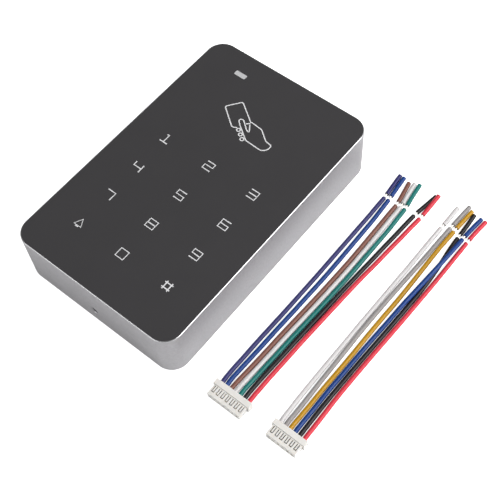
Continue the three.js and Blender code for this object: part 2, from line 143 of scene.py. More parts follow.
def vary_colour(tree, shader, colour, spread, size, stretch=(1, 1, 1)):
    noise = object_noise(tree, size, stretch=stretch)
    stops = [(NOISE_LOW, shade_of(colour, 1 - spread)), (NOISE_HIGH, shade_of(colour, 1 + spread))]
    link(tree, ramp(tree, noise, stops), shader.inputs["Base Color"])


def vary_roughness(tree, shader, low, high, size, stretch=(1, 1, 1)):
    level = add_node(tree, "ShaderNodeMapRange", Value=object_noise(tree, size, stretch=stretch),
                     From_Min=NOISE_LOW, From_Max=NOISE_HIGH, To_Min=low, To_Max=high)
    link(tree, level, shader.inputs["Roughness"])


def dent(tree, shader, depth, size, detail=2, stretch=(1, 1, 1)):
    bump = add_node(tree, "ShaderNodeBump", Height=object_noise(tree, size, detail, stretch),
                    Distance=depth, Strength=1)
    link(tree, bump, shader.inputs["Normal"])


def finish(name, colour, spread=0.05, grain=0.004, rough=(0.4, 0.5), dents=(0.00001, 0.0004),
           stretch=(1, 1, 1), **fixed):
    """A finish with colour blobs of size grain, a roughness range, and dents of (depth, size)."""
    material, tree, shader = new_material(name, **fixed)
    vary_colour(tree, shader, colour, spread, grain, stretch)
    vary_roughness(tree, shader, *rough, grain * 0.7, stretch)
    dent(tree, shader, *dents, stretch=stretch)
    return material


print("shader helpers ready")

# %% [markdown]
# ## Helpers for Geometry Nodes
# Wires, strands, screws, pins and contacts all repeat or follow a path, so node trees make them.
# A tree gets named inputs for its sizes. The evaluated result becomes a plain mesh, because an
# exported model can't carry live instances.

# %% Node tree helpers
SOCKET_KINDS = {
    "float": "NodeSocketFloat", "int": "NodeSocketInt", "object": "NodeSocketObject",
    "material": "NodeSocketMaterial",
}


def new_tree(name, **inputs):
    """A geometry tree with a Geometry input and output, and the named inputs with their kinds."""
    tree = bpy.data.node_groups.new(name, "GeometryNodeTree")
    tree.interface.new_socket("Geometry", in_out="INPUT", socket_type="NodeSocketGeometry")
    tree.interface.new_socket("Geometry", in_out="OUTPUT", socket_type="NodeSocketGeometry")
    for label, kind in inputs.items():
        tree.interface.new_socket(label.replace("_", " "), in_out="INPUT",
                                  socket_type=SOCKET_KINDS[kind])
    return tree, tree.nodes.new("NodeGroupInput").outputs, tree.nodes.new("NodeGroupOutput")


def math_node(tree, operation, a, b):
    made = tree.nodes.new("ShaderNodeMath")
    made.operation = operation
    for socket, value in zip(made.inputs, (a, b)):
        feed(tree, socket, value)
    return made.outputs[0]


def join_geometry(tree, *parts):
    made = tree.nodes.new("GeometryNodeJoinGeometry")
    for part in parts:
        link(tree, part, made.inputs[0])
    return made.outputs[0]


def add_tree(obj, tree, **values):
    modifier = obj.modifiers.new(tree.name, "NODES")
    modifier.node_group = tree
    for label, value in values.items():
        socket = next(s for s in tree.interface.items_tree if s.name == label.replace("_", " "))
        modifier[socket.identifier] = value


def keep_result(obj, name):
    """Turns obj with its modifiers into a plain mesh object called name, and removes obj."""
    bpy.context.view_layer.update()
    mesh = bpy.data.meshes.new_from_object(obj.evaluated_get(bpy.context.evaluated_depsgraph_get()))
    mesh.name = name
    bpy.data.objects.remove(obj)
    return put(name, mesh)


def put(name, data):
    obj = bpy.data.objects.new(name, data)
    bpy.context.scene.collection.objects.link(obj)
    return obj


print("node tree helpers ready")

# %% [markdown]
# ## The harness wires
# Each plug carries loose leads of thin stranded wire. The factory strips them half way: the cut
# end of the insulation is pulled along the strands and left on as a slug, so that a short bare
# gap shows. A wire could be a bevelled curve, but the gap and the twist of the strands are easier
# to say in nodes: one curve is trimmed into a sleeve, a gap and a slug, and a bundle of seven
# circles is swept through the gap with a steady tilt. The routes are the same short lists that
# the frame's tubes follow.

# %% Wire routes
PITCH = 2.05
PLUG_LENGTH = 6.6
BENCH_GAP = 0.3
LIE = 0.95                                 # height of a wire's centre on the bench
RISE = [2.1, 2.05, 1.65, 1.1, LIE]
STATIONS = [-48.5, -44.5, -39, -31, -22, -13, -4, 5, 14, 23, 31, 38, 44, 50, 56]
HARNESSES = {
    "7": dict(x=59.85, mouth=-58.1, wires=[
        dict(colour="purple", gap=49.2, tip=(52.6, 62.1),
             x=[53.5, 53.3, 53.2, 53.2, 53.4, 53.6, 53.7, 53.8, 53.8, 53.8, 53.8, 53.8, 53.7, 53.6,
                53.1]),
        dict(colour="blue", gap=49.3, tip=(54.5, 62.1),
             x=[55.5, 55.4, 55.4, 55.6, 55.8, 56.1, 56.3, 56.5, 56.5, 56.4, 56.3, 56.2, 55.9, 55.6,
                55]),
        dict(colour="brown", gap=48.9, tip=(57.4, 61.2),
             x=[57.8, 57.85, 57.95, 58.2, 58.5, 58.9, 59.3, 59.6, 59.8, 59.8, 59.7, 59.6, 59.5,
                59.35, 58.4]),
        dict(colour="white", gap=49.2, tip=(59.5, 62.2),
             x=[59.8, 59.8, 59.85, 60.1, 60.4, 60.8, 61.2, 61.5, 61.7, 61.7, 61.6, 61.5, 61.4,
                61.25, 60.35]),
        dict(colour="green", gap=49.6, tip=(61.4, 63),
             x=[61.75, 61.75, 61.75, 62, 62.3, 62.7, 63.1, 63.4, 63.6, 63.6, 63.6, 63.6, 63.4,
                63.15, 62.25]),
        dict(colour="black", gap=49.2, tip=(69.6, 62.2),
             x=[63.8, 63.7, 63.65, 63.9, 64.2, 64.6, 65, 65.35, 65.8, 66.3, 66.7, 67.1, 67.4, 67.8,
                68.7]),
        dict(colour="red", gap=49.2, tip=(70.7, 62.2),
             x=[65.9, 65.8, 65.7, 65.9, 66.15, 66.5, 66.9, 67.3, 67.8, 68.5, 69, 69.5, 69.9, 70.4,
                70.6],
             lift={13: 1.05, 14: 1.35, 15: 1.95, 16: 2.55}),
    ]),
    "6": dict(x=84.65, mouth=-57.1, wires=[
        dict(colour="white", gap=50.8, tip=(79.3, 62.8),
             x=[79.3, 79.1, 78.8, 78.7, 78.7, 78.8, 78.8, 78.9, 79, 79.1, 79.2, 79.2, 79.2, 79.3,
                79.4]),
        dict(colour="grey", gap=52.8, tip=(82.8, 66),
             x=[81.45, 81.35, 81.2, 81, 80.9, 80.8, 80.7, 80.8, 81, 81.3, 81.6, 81.8, 81.9, 82.1,
                82.3]),
        dict(colour="yellow", gap=52.3, tip=(84.7, 64.8),
             x=[83.55, 83.5, 83.45, 83.4, 83.6, 83.7, 83.7, 83.8, 84, 84, 83.9, 83.8, 83.8, 84,
                84.2]),
        dict(colour="blue", gap=50.8, tip=(89.5, 63.8),
             x=[85.6, 85.5, 85.4, 85.3, 85.5, 85.65, 85.9, 86.3, 86.8, 87.5, 88.1, 88.5, 88.7, 88.8,
                88.9],
             lift={8: 1.1, 9: 1.9, 10: 2.5, 11: 2.95, 12: 2.95, 13: 2.6, 14: 2, 15: 1.3}),
        dict(colour="black", gap=50.8, tip=(86.3, 63.8),
             x=[87.65, 87.5, 87.3, 87.25, 87.4, 87.6, 87.9, 88.2, 88.45, 88.65, 88.4, 87.9, 87.3,
                86.9, 86.7]),
        dict(colour="red", gap=50.9, tip=(91.5, 63.8),
             x=[89.7, 89.6, 89.4, 89.2, 89.3, 89.5, 89.8, 90.1, 90.35, 90.55, 90.7, 90.75, 90.75,
                90.8, 90.9]),
    ]),
}


def circuit_offset(index, circuits):
    return (index - (circuits - 1) / 2) * PITCH


def wire_route(harness, index):
    """The route's points in metres, from the back of the plug to the wire's tip."""
    wire = harness["wires"][index]
    start = (harness["x"] + circuit_offset(index, len(harness["wires"])),
             harness["mouth"] + PLUG_LENGTH + BENCH_GAP)
    flat = [start, *zip(wire["x"], STATIONS), wire["tip"]]
    lift = wire.get("lift", {})
    heights = [RISE[i] if i < len(RISE) else lift.get(i, LIE) for i in range(len(flat))]
    return [Vector((x, y, z)) * MM for (x, y), z in zip(flat, heights)]


print("routes of", sum(len(h["wires"]) for h in HARNESSES.values()), "wires")

# %% Wire colours and metals
INSULATION = {
    "purple": (0.025, 0.024, 0.12), "blue": (0.003, 0.036, 0.185), "brown": (0.175, 0.07, 0.05),
    "white": (0.54, 0.525, 0.525), "green": (0.003, 0.14, 0.125), "black": (0.008, 0.006, 0.008),
    "red": (0.53, 0.026, 0.046), "grey": (0.255, 0.24, 0.237), "yellow": (0.42, 0.215, 0.004),
}


def insulation(colour):
    """Extruded vinyl: faint streaks along the wire, and a soft shine."""
    return finish(f"{colour}_insulation", INSULATION[colour], spread=0.07, grain=0.0006,
                  rough=(0.3, 0.42),
                  dents=(0.000012, 0.0005), stretch=(1, 14, 1), Specular_IOR_Level=0.25)


insulations = {colour: insulation(colour) for colour in INSULATION}
tinned = finish("tinned_strands", (0.72, 0.7, 0.66), spread=0.1, grain=0.0004, rough=(0.25, 0.4),
                Metallic=1)
print(len(insulations), "insulation colours")

# %% Node tree of a stripped wire
WIRE_RADIUS = 0.9 * MM
STRAND_RADIUS = 0.14 * MM
STRIP_GAP = 2.1 * MM                       # bare strands between sleeve and slug
PROUD = 0.15 * MM                          # strands past the end of the slug
TWIST = 900                                # radians of strand twist per metre
WIRE_SIDES = 20
SLEEVE_STEP, STRAND_STEP = 0.3 * MM, 0.15 * MM
END_ROUNDING, END_NARROWING = 0.3 * MM, 0.8
HIDDEN = 1 * MM                            # strands that run on inside the insulation


def swept(tree, curve, step, profile, material):
    fine = add_node(tree, "GeometryNodeResampleCurve", {"mode": "LENGTH"}, Curve=curve, Length=step)
    return fine, lambda path: add_node(tree, "GeometryNodeSetMaterial", Material=material,
                                       Geometry=add_node(
        tree, "GeometryNodeCurveToMesh", Curve=path, Profile_Curve=profile, Fill_Caps=True))


def trimmed(tree, curve, start, end):
    made = tree.nodes.new("GeometryNodeTrimCurve")
    made.mode = "LENGTH"
    link(tree, curve, made.inputs["Curve"])
    lengths = [s for s in made.inputs if s.type == "VALUE" and s.enabled][-2:]
    for socket, value in zip(lengths, (start, end)):
        feed(tree, socket, value)
    return made.outputs["Curve"]


def rounded_sleeve(tree, curve, profile, material):
    """A tube of insulation whose cut ends are a little rounded."""
    fine, sweep = swept(tree, curve, SLEEVE_STEP, profile, material)
    along = tree.nodes.new("GeometryNodeSplineParameter").outputs["Length"]
    whole = tree.nodes.new("GeometryNodeSplineLength").outputs["Length"]
    to_end = math_node(tree, "MINIMUM", along, math_node(tree, "SUBTRACT", whole, along))
    radius = add_node(tree, "ShaderNodeMapRange", Value=to_end, From_Min=0, From_Max=END_ROUNDING,
                      To_Min=END_NARROWING, To_Max=1)
    return sweep(add_node(tree, "GeometryNodeSetCurveRadius", Curve=fine, Radius=radius))


def strand_profile(tree):
    """Seven circles, six around one, as one set of curves."""
    circle = add_node(tree, "GeometryNodeCurvePrimitiveCircle", Resolution=8, Radius=STRAND_RADIUS)
    ring = add_node(tree, "GeometryNodeMeshCircle", Vertices=6, Radius=2 * STRAND_RADIUS)
    around = add_node(tree, "GeometryNodeInstanceOnPoints", Points=ring, Instance=circle)
    return add_node(tree, "GeometryNodeRealizeInstances",
                    Geometry=join_geometry(tree, around, circle))


def strands(tree, curve, profile, material):
    fine, sweep = swept(tree, curve, STRAND_STEP, profile, material)
    along = tree.nodes.new("GeometryNodeSplineParameter").outputs["Length"]
    return sweep(add_node(tree, "GeometryNodeSetCurveTilt", Curve=fine,
                          Tilt=math_node(tree, "MULTIPLY", along, TWIST)))


def wire_tree():
    tree, given, out = new_tree("stripped wire", Gap_Start="float", Insulation="material",
                                Metal="material")
    curve = given["Geometry"]
    start = given["Gap Start"]
    end = math_node(tree, "ADD", start, STRIP_GAP)
    whole = add_node(tree, "GeometryNodeCurveLength", Curve=curve)
    round_profile = add_node(tree, "GeometryNodeCurvePrimitiveCircle", Resolution=WIRE_SIDES,
                             Radius=WIRE_RADIUS)
    bundle = strand_profile(tree)
    sleeve = rounded_sleeve(tree, trimmed(tree, curve, 0, start), round_profile,
                            given["Insulation"])
    slug_end = math_node(tree, "SUBTRACT", whole, PROUD)
    slug = rounded_sleeve(tree, trimmed(tree, curve, end, slug_end), round_profile,
                          given["Insulation"])
    bare = trimmed(tree, curve, math_node(tree, "SUBTRACT", start, HIDDEN),
                   math_node(tree, "ADD", end, HIDDEN))
    tip = trimmed(tree, curve, math_node(tree, "SUBTRACT", whole, HIDDEN), whole)
    parts = [sleeve, slug, *(strands(tree, path, bundle, given["Metal"]) for path in (bare, tip))]
    smooth = add_node(tree, "GeometryNodeSetShadeSmooth", Geometry=join_geometry(tree, *parts))
    link(tree, add_node(tree, "GeometryNodeRealizeInstances", Geometry=smooth), out.inputs[0])
    return tree


stripped_wire = wire_tree()
print(len(stripped_wire.nodes), "nodes in the wire tree")

# %% Make the wires
SHARP = math.radians(35)


def sharpen(obj):
    obj.data.shade_smooth()
    obj.data.set_sharp_from_angle(angle=SHARP)
    return obj


def route_curve(name, points):
    data = bpy.data.curves.new(name, "CURVE")
    data.dimensions = "3D"
    data.resolution_u = 24
    spline = data.splines.new("BEZIER")
    spline.bezier_points.add(len(points) - 1)
    for knot, point in zip(spline.bezier_points, points):
        knot.co = point
        knot.handle_left_type = knot.handle_right_type = "AUTO"
    return put(name, data)


def gap_distance(points, gap_y):
    """Length along the route up to the Y where the bare gap starts."""
    travelled = 0
    for a, b in zip(points, points[1:]):
        if b.y >= gap_y:
            return travelled + (b - a).length * (gap_y - a.y) / (b.y - a.y)
        travelled += (b - a).length
    raise ValueError("the gap lies past the tip")


def make_wire(circuits, harness, index):
    wire = harness["wires"][index]
    points = wire_route(harness, index)
    guide = route_curve("guide", points)
    add_tree(guide, stripped_wire, Gap_Start=gap_distance(points, wire["gap"] * MM),
             Insulation=insulations[wire["colour"]], Metal=tinned)
    piece = sharpen(keep_result(guide, f"lead_{circuits}_{wire['colour']}"))
    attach(piece, f"harness_{circuits}")
    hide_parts(f"wire_{circuits}_{wire['colour']}")
    return piece, points


for circuits, harness in HARNESSES.items():
    [make_wire(circuits, harness, i) for i in range(len(harness["wires"]))]

# %% [markdown]
# ## Helpers for moulded, cast and stamped pieces
# The other pieces are drawn in millimetres, because their sizes are a maker's round numbers, and
# they become metres when they are finished. Three ways of drawing cover them all. A plate is a
# filled flat curve with some thickness and a small bevel. A loft joins rings of equal point
# counts. Holes and bosses are booleans. Smooth shading would tilt a wide level face towards its
# rounded edge, and the tilt would show as a wedge on dark gloss, so level faces are shaded flat.

# %% Outlines
def arc(cx, cy, radius, start, end, steps):
    angles = [math.radians(start + (end - start) * i / steps) for i in range(steps + 1)]
    return [(cx + radius * math.cos(a), cy + radius * math.sin(a)) for a in angles]


def rounded_rectangle(width, length, radius, cx=0, cy=0, steps=10, support=0):
    """Counter-clockwise points. support adds a point that far outside each end of an arc,
    which keeps the shading of the flat sides flat."""
    x, y = width / 2 - radius, length / 2 - radius
    points = []
    for sx, sy, start in ((1, 1, 0), (-1, 1, 90), (-1, -1, 180), (1, -1, 270)):
        turn = arc(cx + sx * x, cy + sy * y, radius, start, start + 90, steps)
        if support:
            first, last = math.radians(start - 90), math.radians(start + 180)
            before = (turn[0][0] + support * math.cos(first),
                      turn[0][1] + support * math.sin(first))
            after = (turn[-1][0] + support * math.cos(last), turn[-1][1] + support * math.sin(last))
            turn = [before, *turn, after]
        points += turn
    return points


def circle(cx, cy, radius, steps=32):
    return arc(cx, cy, radius, 0, 360, steps)[:-1]


def box_outline(x0, x1, y0, y1):
    return [(x0, y0), (x1, y0), (x1, y1), (x0, y1)]


def four_corners(x, y):
    return [(x, y), (-x, y), (-x, -y), (x, -y)]


print("outlines ready")

# %% Plates, lofts, bars and turned parts
def mesh_object(name, bm):
    bmesh.ops.recalc_face_normals(bm, faces=bm.faces)
    data = bpy.data.meshes.new(name)
    bm.to_mesh(data)
    bm.free()
    return put(name, data)


def plate(name, outline, holes, bottom, top, edge=0.12):
    """A flat plate with softened edges, from its outline and the outlines of its holes."""
    data = bpy.data.curves.new(name, "CURVE")
    data.dimensions = "2D"
    data.fill_mode = "BOTH"
    data.extrude = (top - bottom) / 2 - edge
    data.bevel_depth = edge
    data.bevel_resolution = 1
    data.offset = -edge
    for points in (outline, *holes):
        spline = data.splines.new("POLY")
        spline.points.add(len(points) - 1)
        for knot, (x, y) in zip(spline.points, points):
            knot.co = (x, y, 0, 1)
        spline.use_cyclic_u = True
    flat = keep_result(put("flat", data), name)
    flat.data.transform(Matrix.Translation((0, 0, (bottom + top) / 2)))
    weld(flat)
    return flat


def weld(obj, distance=0.001):
    bm = bmesh.new()
    bm.from_mesh(obj.data)
    bmesh.ops.remove_doubles(bm, verts=bm.verts, dist=distance)
    bmesh.ops.recalc_face_normals(bm, faces=bm.faces)
    bm.to_mesh(obj.data)
    bm.free()


def loft(name, rings, closed=False):
    """Joins rings of points. An open loft is capped, and a closed one ends where it starts."""
    bm = bmesh.new()
    made = [[bm.verts.new(point) for point in ring] for ring in rings]
    pairs = list(zip(made, made[1:] + made[:1])) if closed else list(zip(made, made[1:]))
    for low, high in pairs:
        for i in range(len(low)):
            j = (i + 1) % len(low)
            bm.faces.new((low[i], low[j], high[j], high[i]))
    if not closed:
        bm.faces.new(made[0])
        bm.faces.new(made[-1])
    return mesh_object(name, bm)


def block(name, x0, x1, y0, y1, z0, z1):
    return loft(name, [[(x, y, z) for x, y in box_outline(x0, x1, y0, y1)] for z in (z0, z1)])


def turned(name, cx, cy, profile, steps=40):
    """A lathed part from (radius, z) pairs, standing on (cx, cy)."""
    return loft(name, [[(x, y, z) for x, y in circle(cx, cy, r, steps)] for r, z in profile])


def bar_along_x(name, profile, x0, x1):
    """A profile of (y, z) points carried from x0 to x1."""
    return loft(name, [[(x, y, z) for y, z in profile] for x in (x0, x1)])


def combine(obj, operation, *tools):
    """Adds or cuts the tools, which are used up."""
    for tool in tools:
        step = obj.modifiers.new(operation, "BOOLEAN")
        step.operation = operation
        step.solver = "EXACT"
        step.object = tool
    made = keep_result(obj, obj.name)
    for tool in tools:
        bpy.data.objects.remove(tool)
    return made


def soften(obj, width):
    """Rounds the sharp edges of obj."""
    weld(obj)
    bevel = obj.modifiers.new("soften", "BEVEL")
    bevel.width = width
    bevel.segments = 2
    bevel.limit_method = "ANGLE"
    bevel.angle_limit = SHARP
    return keep_result(obj, obj.name)


def tipped(obj, x, y, z):
    """Tips a part that points up so that it points along -Y, with its foot at (x, y, z)."""
    obj.data.transform(Matrix.Translation((x, y, z)) @ Matrix.Rotation(math.radians(90), 4, "X"))
    return obj


LEVEL = 0.9999                             # a normal's Z above this is a level face


def level_faces_flat(obj):
    """Takes the rounded edges' tilt off wide level faces, so that each mirrors as one plane."""
    for face in obj.data.polygons:
        if abs(face.normal.z) > LEVEL:
            face.use_smooth = False


def finished(obj, body, slot, replaced, *materials):
    """Turns a piece drawn in millimetres into its final form: metres, shading, finish, body."""
    if materials:
        obj.data.materials.clear()
        for material in materials:
            obj.data.materials.append(material)
    obj.data.transform(Matrix.Scale(MM, 4))
    sharpen(obj)
    level_faces_flat(obj)
    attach(obj, body)
    if replaced:
        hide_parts(*replaced)
    print(obj.name, len(obj.data.polygons), "faces")
    return obj


print("shape helpers ready")

# %% [markdown]
# ## The cast case
# The case is one zinc casting with a fine blasted skin. Its front edge is a smoother chamfer,
# and a lighter colour on it is a painted highlight for the light that the chamfer catches, so
# that a thin shining line runs round the black panel. Its section is the same all the way round,
# so it is a closed loft: each ring is a rounded rectangle at its own inset and height. The screw
# posts, the lugs and the dry pocket for the wall plate's tab are then added and cut. The blasted
# skin and the rim with its painted highlight are two materials, and the height of a face says
# which it gets.

# %% Case finishes
blasted_zinc = finish("blasted_zinc", (0.37, 0.363, 0.378), spread=0.05, grain=0.0011,
                      rough=(0.42, 0.52),
                      dents=(0.000012, 0.00022), Metallic=0.72)
# The rim's finish is smoother than the skin, and its lighter colour is a painted highlight along
# the chamfer.
rim_painted_highlight = finish("bright_cut_rim", (0.5, 0.5, 0.51), spread=0.02, grain=0.003, rough=(0.2, 0.3),
                    dents=(0.000002, 0.0006), Metallic=0.85)
print(blasted_zinc.name, rim_painted_highlight.name)

# %% Case shell
CASE_WIDTH, CASE_LENGTH, CASE_CORNER = 77, 120, 7.5
RIM_TOP = 24
REBATE_Z = 20.4                            # the ledge that the panel's gasket sits on
LEDGE_Z = 6                                # the ledge that the back cover's seal sits on
REAR_LIP = [(0.3, 0.3), (0.08, 0.36), (0, 0.6)]
FRONT_EDGE = [(0, 23.65), (0.05, 23.83), (0.16, 23.96), (0.28, RIM_TOP), (0.34, 23.98),
              (0.35, 23.9)]
INNER_STEPS = [(0.35, REBATE_Z), (5.5, REBATE_Z), (5.5, LEDGE_Z), (3.5, LEDGE_Z), (3.5, 0.3)]
INNER_CORNER = 2


def case_ring(inset, z):
    radius = max(CASE_CORNER - inset, INNER_CORNER)
    outline = rounded_rectangle(CASE_WIDTH - 2 * inset, CASE_LENGTH - 2 * inset, radius, steps=20,
                                support=0.6)
    return [(x, y, z) for x, y in outline]


case_body = loft("case_shell",
                 [case_ring(inset, z) for inset, z in REAR_LIP + FRONT_EDGE + INNER_STEPS],
                 closed=True)
print(len(case_body.data.vertices), "points in the case's loft")

# %% Posts, lugs and pockets of the case
INSIDE_X, INSIDE_Y = 33, 54.5
OVERLAP = 1                                # how far a tool or a boss runs past what it meets
POST_X, POST_Y, POST_TOP = 25.5, 47, 15.5
LUG_Y, LUG_HALF, LUG_LOW = 36, 4, 18.3
COVER_SCREW_X, COVER_SCREW_Y = 29.4, 50.8
BOARD_SCREW_X, BOARD_SCREW_Y = 29, 36
SCREW_HOLE = 1.45
COVER_THREAD, BOARD_THREAD = (5, 14.6), (18, 21.4)
LOCK_Z = 7.8
LOCK_HOLE_RADIUS, LOCK_HOLE_START, LOCK_HOLE_DEEP = 1.5, -55.5, 5.5
COUNTERSINK, COUNTERSINK_Y = [(1.45, 0), (1.85, 0.5)], -59.6
POCKET_WALL_HALF, POCKET_WALL_Y = 12, -48
POCKET_HALF, POCKET_OUTER, POCKET_INNER, POCKET_TOP = 9.5, -56.5, -50, 14
HOOK_X, HOOK_POCKET_HALF, HOOK_POCKET_TOP = 18, 6, 4.4
HOOK_POCKET_INNER, HOOK_POCKET_OUTER, HOOK_MOUTH_OUTER, HOOK_LIP_Z = 55.5, 58.75, 57.9, 1.2
SWING_RELIEF = [(58.2, -1), (62, -1), (62, 2.6), (60, 2.6), (58.2, 0.3)]
SWING_RELIEF_HALF = 50


def corner_block(name, sx, sy, x0, y0, y1, z0, z1):
    xs = sorted((sx * x0, sx * (INSIDE_X + OVERLAP)))
    ys = sorted((sy * y0, sy * y1))
    return block(name, *xs, *ys, z0, z1)


added = [block("pocket_wall", -POCKET_WALL_HALF, POCKET_WALL_HALF, -INSIDE_Y - OVERLAP,
               POCKET_WALL_Y, LEDGE_Z, REBATE_Z)]
for sx, sy in four_corners(1, 1):
    added.append(corner_block("post", sx, sy, POST_X, POST_Y, INSIDE_Y + OVERLAP, LEDGE_Z,
                              POST_TOP))
    added.append(corner_block("lug", sx, sy, POST_X, LUG_Y - LUG_HALF, LUG_Y + LUG_HALF, LUG_LOW,
                              REBATE_Z))
case_body = combine(case_body, "UNION", *added)

removed = [block("pocket", -POCKET_HALF, POCKET_HALF, POCKET_OUTER, POCKET_INNER, -OVERLAP,
                 POCKET_TOP)]
for x in (HOOK_X, -HOOK_X):
    sides = (x - HOOK_POCKET_HALF, x + HOOK_POCKET_HALF)
    removed.append(block("hook_deep", *sides, HOOK_POCKET_INNER, HOOK_POCKET_OUTER, HOOK_LIP_Z,
                         HOOK_POCKET_TOP))
    removed.append(block("hook_mouth", *sides, HOOK_POCKET_INNER, HOOK_MOUTH_OUTER, -OVERLAP,
                         HOOK_POCKET_TOP))
for corners, ends in ((four_corners(COVER_SCREW_X, COVER_SCREW_Y), COVER_THREAD),
                      (four_corners(BOARD_SCREW_X, BOARD_SCREW_Y), BOARD_THREAD)):
    for x, y in corners:
        removed.append(turned("thread", x, y, [(SCREW_HOLE, z) for z in ends], 16))
lock_hole = turned("lock_hole", 0, 0, [(LOCK_HOLE_RADIUS, 0), (LOCK_HOLE_RADIUS, LOCK_HOLE_DEEP)])
removed.append(tipped(lock_hole, 0, LOCK_HOLE_START, LOCK_Z))
removed.append(tipped(turned("countersink", 0, 0, COUNTERSINK), 0, COUNTERSINK_Y, LOCK_Z))
removed.append(bar_along_x("swing_relief", SWING_RELIEF, -SWING_RELIEF_HALF, SWING_RELIEF_HALF))
case_body = combine(case_body, "DIFFERENCE", *removed)
weld(case_body)
print(len(case_body.data.polygons), "faces after the booleans")

# %% Finish the case
RIM_START = 23.66
case_body = finished(case_body, "reader", "cast_case", ["case_frame"], blasted_zinc, rim_painted_highlight)
# Faces above RIM_START take the rim's finish, whose lighter colour paints the highlight on the
# chamfer.
for face in case_body.data.polygons:
    if face.center.z > RIM_START * MM:
        face.material_index = 1

# %% [markdown]
# ## The touch panel and its print
# The panel is a sheet of tinted acrylic, printed black on its back, with a clear spot for the
# status light. Its surface is even, so the finish is a dark base with a smooth, slightly satin
# face. Keys and the card symbol are thin raised strokes of pale ink. Each stroke is a line of
# points, and a node tree sweeps a flat ribbon along it. A ribbon gets thin where it turns a
# corner, so every corner point is given the larger radius that a mitre needs. The hand's knuckles
# are three small closed loops.

# %% Panel finishes
panel_black = finish("satin_black_acrylic", (0.027, 0.0255, 0.0275), spread=0.03, grain=0.02,
                     rough=(0.3, 0.36),
                     dents=(0.0000015, 0.0008), Coat_Weight=0.15, Coat_Roughness=0.25)
milky_lens = finish("milky_lens", (0.45, 0.45, 0.46), spread=0.03, grain=0.001, rough=(0.3, 0.4),
                    dents=(0.000003, 0.0008), Subsurface_Weight=0.2,
                    Subsurface_Radius=(0.001, 0.001, 0.001))
pale_ink = finish("pale_ink", (0.62, 0.62, 0.63), spread=0.04, grain=0.0008, rough=(0.4, 0.5),
                  dents=(0.000002, 0.0002))
print(panel_black.name, milky_lens.name, pale_ink.name)

# %% Panel and lens
PANEL_BOTTOM, PANEL_TOP = 21.5, 23.9
PANEL_WIDTH, PANEL_LENGTH, PANEL_CORNER = 76.26, 119.26, 7.13
STATUS_X, STATUS_Y, STATUS_WIDTH, STATUS_LENGTH = -19, 49.8, 5.4, 2.2
STATUS_CLEARANCE = 0.04


def status_outline(clearance):
    return rounded_rectangle(STATUS_WIDTH + clearance, STATUS_LENGTH + clearance, 0.35, STATUS_X,
                             STATUS_Y, 6)


panel = plate("touch_panel",
              rounded_rectangle(PANEL_WIDTH, PANEL_LENGTH, PANEL_CORNER, steps=20, support=0.6),
              [status_outline(STATUS_CLEARANCE)], PANEL_BOTTOM, PANEL_TOP, edge=0.1)
finished(panel, "reader", "panel_face", ["front_panel"], panel_black)
lens = plate("status_lens", status_outline(0), [], PANEL_BOTTOM, PANEL_TOP - 0.04, edge=0.06)
finished(lens, "reader", "clear_plastic", ["status_window"], milky_lens)

# %% Print strokes as node-made ribbons
INK_WIDTH = 0.47
INK_HEIGHT = 0.03


def ribbon_tree():
    tree, given, out = new_tree("ink ribbon", Width="float", Height="float", Ink="material")
    level = add_node(tree, "GeometryNodeSetCurveNormal", {"mode": "Z_UP"}, Curve=given["Geometry"])
    profile = add_node(tree, "GeometryNodeCurvePrimitiveQuadrilateral", Width=given["Width"],
                       Height=given["Height"])
    ribbon = add_node(tree, "GeometryNodeCurveToMesh", Curve=level, Profile_Curve=profile,
                      Fill_Caps=True)
    inked = add_node(tree, "GeometryNodeSetMaterial", Geometry=ribbon, Material=given["Ink"])
    link(tree, add_node(tree, "GeometryNodeRealizeInstances", Geometry=inked), out.inputs[0])
    return tree


ink_ribbon = ribbon_tree()


def corner_scale(before, here, after):
    a = (here - before).normalized()
    b = (after - here).normalized()
    return 1 / max(0.5, math.cos(a.angle(b, 0) / 2))


def stroke_radii(points, closed):
    last = len(points) - 1
    radii = []
    for i, here in enumerate(points):
        if not closed and i in (0, last):
            radii.append(1)
        else:
            radii.append(corner_scale(points[i - 1], here, points[(i + 1) % len(points)]))
    return radii


def print_strokes(name, strokes):
    """strokes are (points in mm on the panel, closed)."""
    data = bpy.data.curves.new(name, "CURVE")
    data.dimensions = "3D"
    for flat, closed in strokes:
        points = [Vector((x, y, PANEL_TOP + INK_HEIGHT / 2)) for x, y in flat]
        spline = data.splines.new("POLY")
        spline.points.add(len(points) - 1)
        for knot, point, radius in zip(spline.points, points, stroke_radii(points, closed)):
            knot.co = (*point, 1)
            knot.radius = radius
        spline.use_cyclic_u = closed
    guide = put("strokes", data)
    add_tree(guide, ink_ribbon, Width=INK_WIDTH, Height=INK_HEIGHT, Ink=pale_ink)
    ink = keep_result(guide, name)
    weld(ink)
    return finished(ink, "reader", "clear_plastic", [])


# %% The keypad
H = 1.85                                   # half of a glyph's height, to the middle of its strokes
BUTT = INK_WIDTH / 2                       # a stroke that meets another stops at its edge
HASH_HALF, HASH_SPACING = 1.9, 1.1         # half of a bar's length, and of the bars' distance
HASH_SHIFT = 0.35                          # the hash stands a little to the right of its column


def hash_strokes():
    """Two upright bars, and two level ones in pieces that stop at the upright bars' edges."""
    left, right = -HASH_SPACING, HASH_SPACING
    pieces = [(-HASH_HALF, left - BUTT), (left + BUTT, right - BUTT), (right + BUTT, HASH_HALF)]
    upright = [([(x, -HASH_HALF), (x, HASH_HALF)], False) for x in (left, right)]
    return upright + [([(x0, y), (x1, y)], False) for y in (left, right) for x0, x1 in pieces]


def moved(strokes, dx, dy):
    return [([(x + dx, y + dy) for x, y in points], closed) for points, closed in strokes]


